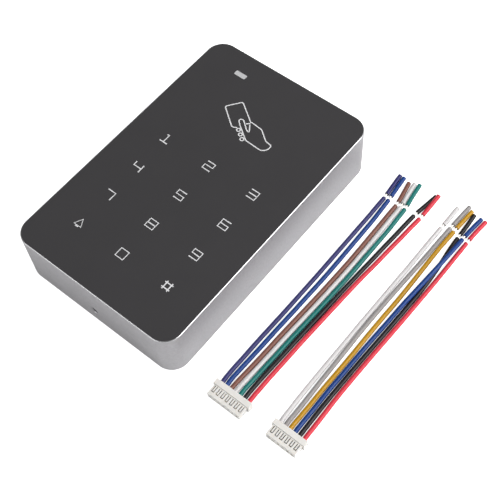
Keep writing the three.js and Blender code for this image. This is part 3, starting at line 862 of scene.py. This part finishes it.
GLYPHS = {
    "1": [([(-1, H), (0, H), (0, -H + BUTT)], False), ([(-H, -H), (H, -H)], False)],
    "2": [([(-H, H), (H, H), (H, 0), (-H, 0), (-H, -H), (H, -H)], False)],
    "3": [([(-H, H), (H, H), (H, -H), (-H, -H)], False), ([(-H, 0), (H - BUTT, 0)], False)],
    "4": [([(-H, H), (-H, 0), (H - BUTT, 0)], False), ([(H, H), (H, -H)], False)],
    "5": [([(H, H), (-H, H), (-H, 0), (H, 0), (H, -H), (-H, -H)], False)],
    "6": [([(H, H), (-H, H), (-H, -H), (H, -H), (H, 0), (-H + BUTT, 0)], False)],
    "7": [([(-H, H), (H, H), (H, -H)], False)],
    "8": [([(-H, H), (-H, -H), (H, -H), (H, H)], True), ([(-H + BUTT, 0), (H - BUTT, 0)], False)],
    "9": [([(H - BUTT, 0), (-H, 0), (-H, H), (H, H), (H, -H), (-H, -H)], False)],
    "0": [([(-H, H), (-H, -H), (H, -H), (H, H)], True)],
    "hash": moved(hash_strokes(), HASH_SHIFT, 0),
    "bell": [([(0, 2.1), (-1.65, -1.1), (1.75, -1.1)], True), ([(-0.7, -1.5), (0.7, -1.5)], False)],
}
COLUMNS = [-21.7, 0, 21.6]
ROWS = [7.5, -9.2, -25.2, -41.2]
KEYS = ["123", "456", "789", ["bell", "0", "hash"]]

key_strokes = []
for y, row in zip(ROWS, KEYS):
    for x, key in zip(COLUMNS, row):
        key_strokes += moved(GLYPHS[key], x, y)
print_strokes("key_print", key_strokes)

# %% The hand and card symbol
def eased(points, radius, closed=False, steps=4):
    """Replaces each corner by a short arc-like bend of about that radius."""
    out = []
    last = len(points) - 1
    for i, here in enumerate(points):
        here = Vector(here)
        if not closed and i in (0, last):
            out.append(tuple(here))
            continue
        before = Vector(points[i - 1])
        after = Vector(points[(i + 1) % len(points)])
        reach = min(radius, (before - here).length * 0.45, (after - here).length * 0.45)
        a = here + (before - here).normalized() * reach
        b = here + (after - here).normalized() * reach
        for t in (j / steps for j in range(steps + 1)):
            out.append(tuple(a.lerp(here, t).lerp(here.lerp(b, t), t)))
    return out


CARD = [(0, 33.5), (-9, 39.6), (-13.4, 33.8), (-4.6, 27.4), (-2.8, 28.5)]
CARD_STUB = [(0, 33.1), (-1.2, 31.9)]
HAND = [(0, 33.8), (5.2, 33.4), (6, 33), (10.3, 29.9), (12.9, 29.6), (13.4, 29.1), (13.4, 27.5),
        (12.7, 26.3),
        (11.3, 25.3), (4, 25.6), (3.2, 26), (-2.4, 29.8), (-4.4, 31.4), (-4.5, 32.3), (-3.6, 32.9),
        (-2.7, 32.5), (-1, 31.2), (1, 29.6), (2.1, 29.4), (2.1, 29.9), (0.2, 32.6)]
KNUCKLES = [(-1.7, 27.9), (0.3, 26.6), (2.2, 25.2)]
KNUCKLE_RADIUS = 0.74
SYMBOL_X, SYMBOL_Y = -0.25, -0.2
symbol_strokes = [(eased(CARD, 0.9), False), (CARD_STUB, False), (eased(HAND, 0.7), False)]
for x, y in KNUCKLES:
    symbol_strokes.append((circle(x, y, KNUCKLE_RADIUS, 16), True))
print_strokes("card_symbol_print", moved(symbol_strokes, SYMBOL_X, SYMBOL_Y))

# %% [markdown]
# ## The plugs
# A plug is a small nylon housing. It is thicker and wider where the wires go in, and each circuit
# has a springy tongue on top, cut free by a U-shaped slot, that locks its contact. Square holes
# in the front take the pins of the board socket. The housing is two plates, joined and then cut
# by one set of tools, and the crimped contacts inside are one shape that nodes copy from hole to
# hole.

# %% Plug finishes
nylon = finish("moulded_nylon", (0.65, 0.633, 0.603), spread=0.03, grain=0.002, rough=(0.42, 0.52),
               dents=(0.000004, 0.0005), Subsurface_Weight=0.25,
               Subsurface_Radius=(0.0012, 0.001, 0.0008))
tinned_brass = finish("tinned_brass", (0.62, 0.58, 0.5), spread=0.08, grain=0.0008,
                      rough=(0.25, 0.38),
                      dents=(0.000003, 0.0003), Metallic=1)
print(nylon.name, tinned_brass.name)

# %% Plug housing
PLUG_SHOULDER, PLUG_HEIGHT, PLUG_SLIM, PLUG_MARGIN, PLUG_FLARE = 4.3, 4.2, 0.4, 2.5, 0.7
TONGUE_START, TONGUE_END, TONGUE_HALF, SLOT_WIDTH, SLOT_DEEP = 1.35, 3.9, 0.27, 0.36, 1.3
BORE_HALF, BORE_DEEP = 0.45, 4
ENTRY_RADIUS, ENTRY_LENGTH, ENTRY_OUTSIDE = 0.95, 2.2, 0.7
MOUTH_Z = PLUG_HEIGHT / 2


def circuit_centres(circuits):
    return [HARNESSES[circuits]["x"] + circuit_offset(i,
                                                      int(circuits)) for i in range(int(circuits))]


def tongue_slot(x, mouth, top):
    """A U of slot around the tongue, open towards the wires."""
    outer, inner = TONGUE_HALF + SLOT_WIDTH, TONGUE_HALF
    low, high = mouth + TONGUE_START, mouth + TONGUE_END
    outline = [(x - outer, low), (x + outer, low), (x + outer, high), (x + inner, high),
               (x + inner, low + SLOT_WIDTH), (x - inner, low + SLOT_WIDTH), (x - inner, high),
               (x - outer, high)]
    return loft("tongue_slot",
                [[(px, py, z) for px, py in outline] for z in (top - SLOT_DEEP, top + 1)])


def make_plug(circuits):
    centres = circuit_centres(circuits)
    mouth = HARNESSES[circuits]["mouth"]
    half = (centres[-1] - centres[0] + PLUG_MARGIN) / 2
    middle = HARNESSES[circuits]["x"]
    front_top = PLUG_HEIGHT - PLUG_SLIM
    front = plate("front",
                  box_outline(middle - half, middle + half, mouth, mouth + PLUG_SHOULDER + 1), [],
                  PLUG_SLIM, front_top, edge=0.12)
    rear = plate(f"plug_housing_{circuits}", box_outline(
        middle - half - PLUG_FLARE, middle + half + PLUG_FLARE, mouth + PLUG_SHOULDER,
                                                         mouth + PLUG_LENGTH),
        [], 0, PLUG_HEIGHT, edge=0.18)
    housing = combine(rear, "UNION", front)
    tools = []
    for x in centres:
        tools.append(tongue_slot(x, mouth, front_top))
        tools.append(block("bore", x - BORE_HALF, x + BORE_HALF, mouth - 1, mouth + BORE_DEEP,
                           MOUTH_Z - BORE_HALF, MOUTH_Z + BORE_HALF))
        entry = turned("entry", 0, 0, [(ENTRY_RADIUS, 0), (ENTRY_RADIUS, ENTRY_LENGTH)], 20)
        tools.append(tipped(entry, x, mouth + PLUG_LENGTH + ENTRY_OUTSIDE, MOUTH_Z))
    housing = combine(housing, "DIFFERENCE", *tools)
    weld(housing)
    return finished(housing, f"harness_{circuits}", "white_nylon", [f"plug_{circuits}"], nylon)


plugs = {circuits: make_plug(circuits) for circuits in HARNESSES}

# %% Crimped contacts, copied by nodes
def copies_on(tree, given, points):
    """Copies the given part to the points, as real geometry in the given finish."""
    part = tree.nodes.new("GeometryNodeObjectInfo")
    link(tree, given["Part"], part.inputs["Object"])
    copies = add_node(tree, "GeometryNodeInstanceOnPoints", Points=points,
                      Instance=part.outputs["Geometry"])
    real = add_node(tree, "GeometryNodeRealizeInstances", Geometry=copies)
    return add_node(tree, "GeometryNodeSetMaterial", Geometry=real, Material=given["Finish"])


def row_tree():
    """Copies a part to a row of points along X, Pitch apart and centred on Middle X."""
    tree, given, out = new_tree("row of parts", Part="object", Count="int", Pitch="float",
                                Middle_X="float", Y="float", Z="float", Finish="material")
    steps = math_node(tree, "SUBTRACT", given["Count"], 1)
    reach = math_node(tree, "MULTIPLY", math_node(tree, "MULTIPLY", steps, given["Pitch"]), 0.5)
    start = add_node(tree, "ShaderNodeCombineXYZ", Y=given["Y"], Z=given["Z"],
                     X=math_node(tree, "SUBTRACT", given["Middle X"], reach))
    offset = add_node(tree, "ShaderNodeCombineXYZ", X=given["Pitch"])
    row = add_node(tree, "GeometryNodeMeshLine", {"mode": "OFFSET"}, Count=given["Count"],
                   Start_Location=start, Offset=offset)
    link(tree, copies_on(tree, given, row), out.inputs[0])
    return tree


row_of_parts = row_tree()


def copied(name, part, tree, **values):
    """The result of a copying tree, which uses up the part."""
    holder = put("holder", bpy.data.meshes.new("holder"))
    add_tree(holder, tree, Part=part, **values)
    made = keep_result(holder, name)
    bpy.data.objects.remove(part)
    return made


def copied_in_row(name, part, count, middle_x, y, z, material):
    return copied(name, part, row_of_parts, Count=count, Pitch=PITCH, Middle_X=middle_x, Y=y, Z=z,
                  Finish=material)


CONTACT_INSET = 1.1                        # from the plug's mouth to the front of its contacts


def contact_shape():
    """A box-shaped contact, open at the front, as long as the hole it sits in."""
    outer, inner, depth = 0.4, 0.27, 2.6
    shape = block("contact", -outer, outer, 0, depth, -outer, outer)
    return combine(shape, "DIFFERENCE",
                   block("opening", -inner, inner, -1, depth - 0.3, -inner, inner))


for circuits, harness in HARNESSES.items():
    contacts = copied_in_row(f"contacts_{circuits}", contact_shape(), int(circuits), harness["x"],
                             harness["mouth"] + CONTACT_INSET, MOUTH_Z, tinned_brass)
    finished(contacts, f"harness_{circuits}", "brass", [])
    plugs[circuits] = [plugs[circuits], contacts]

# %% [markdown]
# ## Behind the reader
# From behind, a zinc-plated steel plate shows, then the black cover with its cable window. The
# plate is stamped: two tongues hook into the case's top edge, and a tab stands up at the bottom
# for the lock screw. Through the windows the two board sockets can be seen, so they have real
# pins. Screws, spacers and pins are each drawn once and copied by nodes.

# %% Finishes behind
zinc_plate = finish("zinc_plated_steel", (0.6, 0.61, 0.63), spread=0.1, grain=0.006,
                    rough=(0.28, 0.42),
                    dents=(0.000006, 0.0005), stretch=(1, 5, 1), Metallic=1)
black_abs = finish("textured_black_plastic", (0.022, 0.022, 0.024), spread=0.12, grain=0.0012,
                   rough=(0.5, 0.62), dents=(0.00003, 0.0003))
screw_steel = finish("black_screw_steel", (0.2, 0.2, 0.21), spread=0.1, grain=0.001,
                     rough=(0.3, 0.42),
                     dents=(0.000004, 0.0003), Metallic=1)
brass = finish("turned_brass", (0.66, 0.47, 0.2), spread=0.08, grain=0.001, rough=(0.22, 0.34),
               dents=(0.000004, 0.0002), stretch=(1, 1, 0.2), Metallic=1)
print("four finishes for the back")

# %% Wall plate
PLATE_TOP = 1.2
PLATE_SIZE = (66, 109, 4)                  # width, length, corner radius
PLATE_WINDOW = (52, 32, 3, 0, 10)          # the same, then the centre's X and Y
WALL_SLOT_X, WALL_SLOT_Y = 22, 42
TAB_CORNER = 1.5
HOOK_AXIS_Y, HOOK_AXIS_Z, HOOK_HALF = 57, 2.1, 5
TAB_INNER, TAB_HALF, TAB_TOP = -53.7, 8, 11.5


def wall_slot(x, y, radius=2.3, reach=4.5):
    return arc(x, y + reach / 2, radius, 0, 180, 14) + arc(x, y - reach / 2, radius, 180, 360, 14)


def hook_profile():
    y, z = HOOK_AXIS_Y, HOOK_AXIS_Z
    corners = [(y - 4, 0), (y - 1, 0), (y - 0.1, z - 0.6), (y + 1.3, z - 0.6), (y + 1.3, z + 0.6),
               (y - 1.4, z + 0.6), (y - 2.4, PLATE_TOP), (y - 4, PLATE_TOP)]
    return eased(corners, 0.3, closed=True)


plate_holes = [wall_slot(x, y) for x, y in four_corners(WALL_SLOT_X, WALL_SLOT_Y)]
flat = plate("mounting_plate", rounded_rectangle(*PLATE_SIZE, steps=12),
             [rounded_rectangle(*PLATE_WINDOW), *plate_holes], 0, PLATE_TOP, edge=0.1)
hooks = [bar_along_x("hook", hook_profile(), x - HOOK_HALF, x + HOOK_HALF)
         for x in (HOOK_X, -HOOK_X)]
corner_x, corner_y = TAB_HALF - TAB_CORNER, TAB_TOP - TAB_CORNER
tab_outline = [(-TAB_HALF, 0), (TAB_HALF, 0), *arc(corner_x, corner_y, TAB_CORNER, 0, 90, 6),
               *arc(-corner_x, corner_y, TAB_CORNER, 90, 180, 6)]
tab = plate("tab", tab_outline, [circle(0, LOCK_Z, LOCK_HOLE_RADIUS)], 0, PLATE_TOP, edge=0.1)
steel = combine(flat, "UNION", *hooks, tipped(tab, 0, TAB_INNER, 0))
weld(steel)
finished(steel, "wall_plate", "plated_steel", ["wall_plate"], zinc_plate)

# %% Back cover
COVER_LOW, COVER_HIGH = 2.6, 4.6
COVER_SIZE = (69.2, 112.2, 4.2)            # width, length, corner radius
CABLE_WINDOW = (38.5, 10, 0.8, -0.25, 10)  # the same, then the centre's X and Y
LABEL_FIELD, LABEL_DEEP = (44, 18, 1.5, 0, -24), 0.25
GROOVE_SIZE, GROOVE_DEEP, GROOVES_Y = (40, 1, 0.49), 0.4, (-38, -41, 30, 33)
COUNTERBORE = [(2.8, 1), (2.8, 3.7)]
TAMPER_X, TAMPER_Y, TAMPER_HOLE = 8, 40, 1.5
NOTCH_HALF, NOTCH_Y = 9.9, -49.6


def cover_outline():
    points = rounded_rectangle(*COVER_SIZE)
    bottom, edge = 3 * len(points) // 4, -COVER_SIZE[1] / 2
    notch = [(-NOTCH_HALF, edge), (-NOTCH_HALF, NOTCH_Y), (NOTCH_HALF, NOTCH_Y), (NOTCH_HALF, edge)]
    return points[:bottom] + notch + points[bottom:]


def recess(name, depth, *shape, steps=10):
    """A tool that cuts a shallow rounded field into the cover's outer face."""
    outline = rounded_rectangle(*shape, steps=steps)
    return loft(name, [[(x, y, z) for x, y in outline] for z in (1, COVER_LOW + depth)])


screw_corners = four_corners(COVER_SCREW_X, COVER_SCREW_Y)
cover_holes = [circle(x, y, SCREW_HOLE, 24) for x, y in screw_corners]
cover = plate("rear_cover", cover_outline(), [
    rounded_rectangle(*CABLE_WINDOW), circle(TAMPER_X, TAMPER_Y, TAMPER_HOLE, 24), *cover_holes],
    COVER_LOW, COVER_HIGH, edge=0.2)
recesses = [turned("counterbore", x, y, COUNTERBORE) for x, y in screw_corners]
recesses += [block("hook_recess", x - HOOK_POCKET_HALF, x + HOOK_POCKET_HALF, 54, 60, 0, 3.1)
             for x in (HOOK_X, -HOOK_X)]
recesses.append(recess("label_field", LABEL_DEEP, *LABEL_FIELD))
recesses += [recess("groove", GROOVE_DEEP, *GROOVE_SIZE, 0, y, steps=6) for y in GROOVES_Y]
cover = combine(cover, "DIFFERENCE", *recesses)
weld(cover)
finished(cover, "reader", "cover_plastic", ["back_cover"], black_abs)

# %% Node tree for parts at four corners
def corner_tree():
    tree, given, out = new_tree("parts at four corners", Part="object", Span_X="float",
                                Span_Y="float", Finish="material")
    grid = add_node(tree, "GeometryNodeMeshGrid", Size_X=given["Span X"], Size_Y=given["Span Y"],
                    Vertices_X=2, Vertices_Y=2)
    link(tree, copies_on(tree, given, grid), out.inputs[0])
    return tree


parts_at_corners = corner_tree()


def copied_to_corners(name, part, x, y, material):
    return copied(name, part, parts_at_corners, Span_X=2 * x, Span_Y=2 * y, Finish=material)


print(len(parts_at_corners.nodes), "nodes in the corner tree")

# %% Screws and spacers
THREAD_PITCH = 0.5
THREAD_DEPTH = 0.16


def thread(radius, low, high):
    """(radius, z) pairs of a thread drawn as rings, which look like a helix at this size."""
    turns = int((high - low) / THREAD_PITCH)
    pairs = []
    for i in range(turns):
        z = low + i * THREAD_PITCH
        pairs += [(radius - THREAD_DEPTH, z), (radius, z + THREAD_PITCH / 2)]
    return [*pairs, (radius - THREAD_DEPTH, low + turns * THREAD_PITCH)]


def cross_head_screw(name, head, shank, face, under, tip):
    """A screw that points up: its head's face is at the bottom, as seen from behind the reader."""
    profile = [(head * 0.86, face), (head * 0.96, face + 0.1), (head, face + 0.3), (head, under),
               *thread(shank, under + 0.1, tip - 0.5), (shank * 0.4, tip)]
    shape = turned(name, 0, 0, profile, 28)
    arms = [loft("arm", [[(x, y, z) for x, y in box_outline(-w * k, w * k, -l * k, l * k)]
                         for z, k in ((face - 0.2, 1.1), (face + 0.6, 0.75))])
            for w, l in ((0.28, 1.25), (1.25, 0.28))]
    return combine(shape, "DIFFERENCE", combine(arms[0], "UNION", arms[1]))


cover_screw = cross_head_screw("screw", head=2.5, shank=1.15, face=2.4, under=3.4, tip=14)
cover_screws = copied_to_corners("cover_screws", cover_screw, COVER_SCREW_X, COVER_SCREW_Y,
                                 screw_steel)
finished(cover_screws, "reader", "screw_steel", [f"cover_screw_{i}" for i in range(1, 5)])
board_screw = cross_head_screw("screw", head=2.3, shank=1.15, face=8.7, under=10.5, tip=20)
board_screws = copied_to_corners("board_screws", board_screw, BOARD_SCREW_X, BOARD_SCREW_Y,
                                 screw_steel)
finished(board_screws, "reader", "screw_steel", [f"board_screw_{i}" for i in range(1, 5)])
spacer = combine(turned("spacer", 0, 0, [(2.75, 12.7), (2.75, 16.5)], 6), "DIFFERENCE",
                 turned("bore", 0, 0, [(SCREW_HOLE, 12), (SCREW_HOLE, 17)], 24))
spacers = copied_to_corners("board_spacers", soften(spacer, 0.12), BOARD_SCREW_X, BOARD_SCREW_Y,
                            brass)
finished(spacers, "reader", "brass", [f"board_spacer_{i}" for i in range(1, 5)])

# %% Board sockets and their pins
SOCKET_Y, SOCKET_LOW, SOCKET_HIGH, SOCKET_FLOOR = 10, 4.5, 10.5, 9.5
SOCKET_HALF_Y, SOCKET_WALL = 2.8, 0.7
PIN_HALF, PIN_LENGTH = 0.25, 3.8
SOCKET_X = {"7": -9.6, "6": 9.2}


def pin_shape():
    rings = [(PIN_HALF * 0.5, 0), (PIN_HALF, 0.35), (PIN_HALF, PIN_LENGTH + 0.1)]
    return loft("pin", [[(x, y, z) for x, y in box_outline(-r, r, -r, r)] for r, z in rings])


def make_socket(circuits):
    x = SOCKET_X[circuits]
    half = ((int(circuits) - 1) * PITCH + PLUG_MARGIN + 2 * SOCKET_WALL + BENCH_GAP) / 2
    shroud = soften(block("shroud", x - half, x + half, SOCKET_Y - SOCKET_HALF_Y,
                          SOCKET_Y + SOCKET_HALF_Y,
                          SOCKET_LOW, SOCKET_HIGH), 0.15)
    inner_x, inner_y = half - SOCKET_WALL, SOCKET_HALF_Y - SOCKET_WALL
    cavity = block("cavity", x - inner_x, x + inner_x, SOCKET_Y - inner_y, SOCKET_Y + inner_y, 3,
                   SOCKET_FLOOR)
    keys = [block("key", x + side * inner_x / 2 - 0.5, x + side * inner_x / 2 + 0.5,
                  SOCKET_Y + inner_y - 0.5,
                  SOCKET_Y + inner_y + 0.35, 3, SOCKET_FLOOR) for side in (-1, 1)]
    shroud = combine(shroud, "DIFFERENCE", cavity, *keys)
    weld(shroud)
    finished(shroud, "reader", "white_nylon", [f"socket_{circuits}"], nylon)
    shroud.name = f"board_socket_{circuits}"
    pins = copied_in_row(f"socket_pins_{circuits}", pin_shape(), int(circuits), x, SOCKET_Y,
                         SOCKET_FLOOR - PIN_LENGTH, brass)
    finished(pins, "reader", "brass", [])


for circuits in SOCKET_X:
    make_socket(circuits)

# %% Lock screw and tamper plunger
LOCK_TIP, LOCK_TAIL, LOCK_RADIUS = -56.1, -51.2, 1.2
HEX_RADIUS, HEX_DEEP = 0.66, 1.3
grub_length = LOCK_TAIL - LOCK_TIP
grub = turned("grub_screw", 0, 0,
              [(LOCK_RADIUS * 0.8, 0), *thread(LOCK_RADIUS, 0.2, grub_length - 0.2),
                                   (LOCK_RADIUS * 0.7, grub_length)], 32)
hex_socket = turned("hex", 0, 0,
                    [(HEX_RADIUS, grub_length - HEX_DEEP), (HEX_RADIUS, grub_length + 1)], 6)
grub = tipped(combine(grub, "DIFFERENCE", hex_socket), 0, LOCK_TAIL, LOCK_Z)
finished(grub, "lock_screw", "screw_steel", ["lock_screw"], screw_steel)

PLUNGER = [(0.5, 1.5), (0.95, 1.6), (1.15, 1.85), (1.2, 2.2), (1.2, 7.7), (1.1, 7.8)]
finished(turned("plunger", TAMPER_X, TAMPER_Y, PLUNGER), "tamper_plunger", "white_nylon",
         ["tamper_plunger"], nylon)

# %% [markdown]
# ## Finishes for the parts inside
# The boards, chips, seals and the light guide keep their working shapes. Each gets the finish of
# its material: a green solder mask with faint tracks under it, black moulded packages, brushed
# cans, copper turns and rubber.

# %% Finishes inside
def circuit_board():
    """Solder mask over copper: straight tracks are a brick pattern, seen through the mask."""
    material, tree, shader = new_material("green_circuit_board", Roughness=0.35, Coat_Weight=0.4)
    place = tree.nodes.new("ShaderNodeTexCoord")
    tracks = tree.nodes.new("ShaderNodeTexBrick")
    for socket, value in (("Scale", 1 / (9 * MM)), ("Mortar Size", 0.03), ("Row Height", 0.2),
                          ("Brick Width", 0.9), ("Color1", (0.012, 0.1, 0.045, 1)),
                          ("Color2", (0.014, 0.115, 0.05, 1)), ("Mortar", (0.03, 0.2, 0.1, 1))):
        tracks.inputs[socket].default_value = value
    link(tree, place.outputs["Object"], tracks.inputs["Vector"])
    link(tree, tracks.outputs["Color"], shader.inputs["Base Color"])
    dent(tree, shader, 0.00001, 0.002)
    return material


def wound_copper():
    """Enamelled wire: fine ridges across the winding."""
    material, tree, shader = new_material("enamelled_copper", Metallic=1, Roughness=0.3)
    vary_colour(tree, shader, (0.62, 0.26, 0.12), 0.12, 0.002)
    dent(tree, shader, 0.00005, 0.0004)
    return material


guide_acrylic = finish("frosted_acrylic", (0.7, 0.72, 0.74), spread=0.02, grain=0.004,
                       rough=(0.35, 0.45),
                       dents=(0.000005, 0.0008), Transmission_Weight=0.4)
INSIDE = {
    circuit_board(): ["touch_board", "main_board"],
    wound_copper(): ["antenna_coil"],
    guide_acrylic: ["light_guide", "status_led"],
    finish("gasket_rubber", (0.016, 0.016, 0.017), spread=0.15, grain=0.0015, rough=(0.7, 0.85),
           dents=(0.00004, 0.0005)): ["panel_gasket", "back_seal"],
    finish("moulded_package", (0.02, 0.02, 0.021), spread=0.1, grain=0.001, rough=(0.45, 0.6),
           dents=(0.00001, 0.0002)): [
        "touch_chip", "board_link", "controller_chip", "card_reader_chip", "power_inductor",
        "door_relay", "buzzer", "tamper_switch"],
    finish("brushed_can", (0.66, 0.66, 0.68), spread=0.06, grain=0.001, rough=(0.25, 0.38),
           dents=(0.000006, 0.0003), stretch=(6, 1, 1), Metallic=1): [
        "clock_crystal", "filter_capacitor"],
}
for material, names in INSIDE.items():
    for name in names:
        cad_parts[name].data.materials.clear()
        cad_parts[name].data.materials.append(material)
        print(name, "is", material.name)

# %% [markdown]
# ## The studio
# A small product is lit with a bright, even tent: a white sweep below, a white surround, and a
# few large soft boxes that draw long gentle highlights on the metal. A ground that glows white
# would also light the metal's sides. So floor and surround are brighter where the camera itself
# looks at them than the light they send on. That makes an even white ground, on which the
# object's shadow doesn't show. A darker gap low in the surround, in front of the near corner,
# takes some light from that corner and the end wall, so that the two sides differ in tone.

# %% Floor and surround
FLOOR_HALF = 3000
FLOOR_TOP, FLOOR_DEEP = -0.2, 10
PAPER_SEEN, PAPER_LIT = 0.85, 0.1          # the floor's glow to the camera, and to everything else
SKY_OPEN, SKY_GAP = 0.42, 0.02             # the surround's light, and what its gap sends
GAP_OUTER, GAP_INNER = 0.75, 0.97          # cosines of the angles where the gap starts and is full
FLAG_DIRECTION = (0.52, -0.8, 0.3)         # the gap is low, in front of the near corner
sweep = plate("studio_floor", box_outline(-FLOOR_HALF, FLOOR_HALF, -FLOOR_HALF, FLOOR_HALF), [],
              FLOOR_TOP - FLOOR_DEEP, FLOOR_TOP)
sweep.data.transform(Matrix.Scale(MM, 4))
floor_paper, floor_tree, floor_shader = new_material("white_paper_sweep", Roughness=0.85)
vary_colour(floor_tree, floor_shader, (0.86, 0.86, 0.86), 0.01, 0.05)
dent(floor_tree, floor_shader, 0.00001, 0.001)
floor_shader.inputs["Emission Color"].default_value = (1, 1, 1, 1)


def seen_by_camera(tree):
    """1 where the camera itself looks at a surface, 0 for the light that the surface sends on."""
    return tree.nodes.new("ShaderNodeLightPath").outputs["Is Camera Ray"]


paper_glow = math_node(floor_tree, "MULTIPLY", seen_by_camera(floor_tree), PAPER_SEEN)
paper_glow = math_node(floor_tree, "MAXIMUM", paper_glow, PAPER_LIT)
link(floor_tree, paper_glow, floor_shader.inputs["Emission Strength"])
sweep.data.materials.append(floor_paper)

surround = bpy.data.worlds.new("surround")
surround.use_nodes = True
sky = surround.node_tree
gap = sky.nodes.new("ShaderNodeVectorMath")
gap.operation = "DOT_PRODUCT"
gap.inputs[1].default_value = Vector(FLAG_DIRECTION).normalized()
link(sky, sky.nodes.new("ShaderNodeTexCoord").outputs["Generated"], gap.inputs[0])
fade = add_node(sky, "ShaderNodeMapRange", {"interpolation_type": "SMOOTHSTEP"},
                Value=gap.outputs["Value"], From_Min=GAP_OUTER, From_Max=GAP_INNER, To_Min=SKY_OPEN,
                To_Max=SKY_GAP)
sky_strength = math_node(sky, "MAXIMUM", seen_by_camera(sky), fade)
link(sky, sky_strength, sky.nodes["Background"].inputs["Strength"])
sky.nodes["Background"].inputs["Color"].default_value = (1, 1, 1, 1)
bpy.context.scene.world = surround
bpy.context.scene.view_settings.view_transform = "Standard"
print("surround ready")

# %% Soft boxes
STUDIO_CENTRE = Vector((0.02, 0, 0.01))


def soft_box(name, spot, width, height, power):
    data = bpy.data.lights.new(name, "AREA")
    data.shape = "RECTANGLE"
    data.size, data.size_y = width, height
    data.energy = power
    box = put(name, data)
    spot = Vector(spot)
    turn = (STUDIO_CENTRE - spot).to_track_quat("-Z", "Y")
    box.matrix_world = Matrix.Translation(spot) @ turn.to_matrix().to_4x4()


soft_box("key_box", (0.5, 0.3, 0.6), width=0.6, height=0.6, power=7)
soft_box("end_box", (-0.25, -0.7, 0.35), width=0.6, height=0.35, power=2)
soft_box("side_box", (0.75, 0.2, 0.25), width=0.8, height=0.4, power=2.2)
print("three soft boxes")
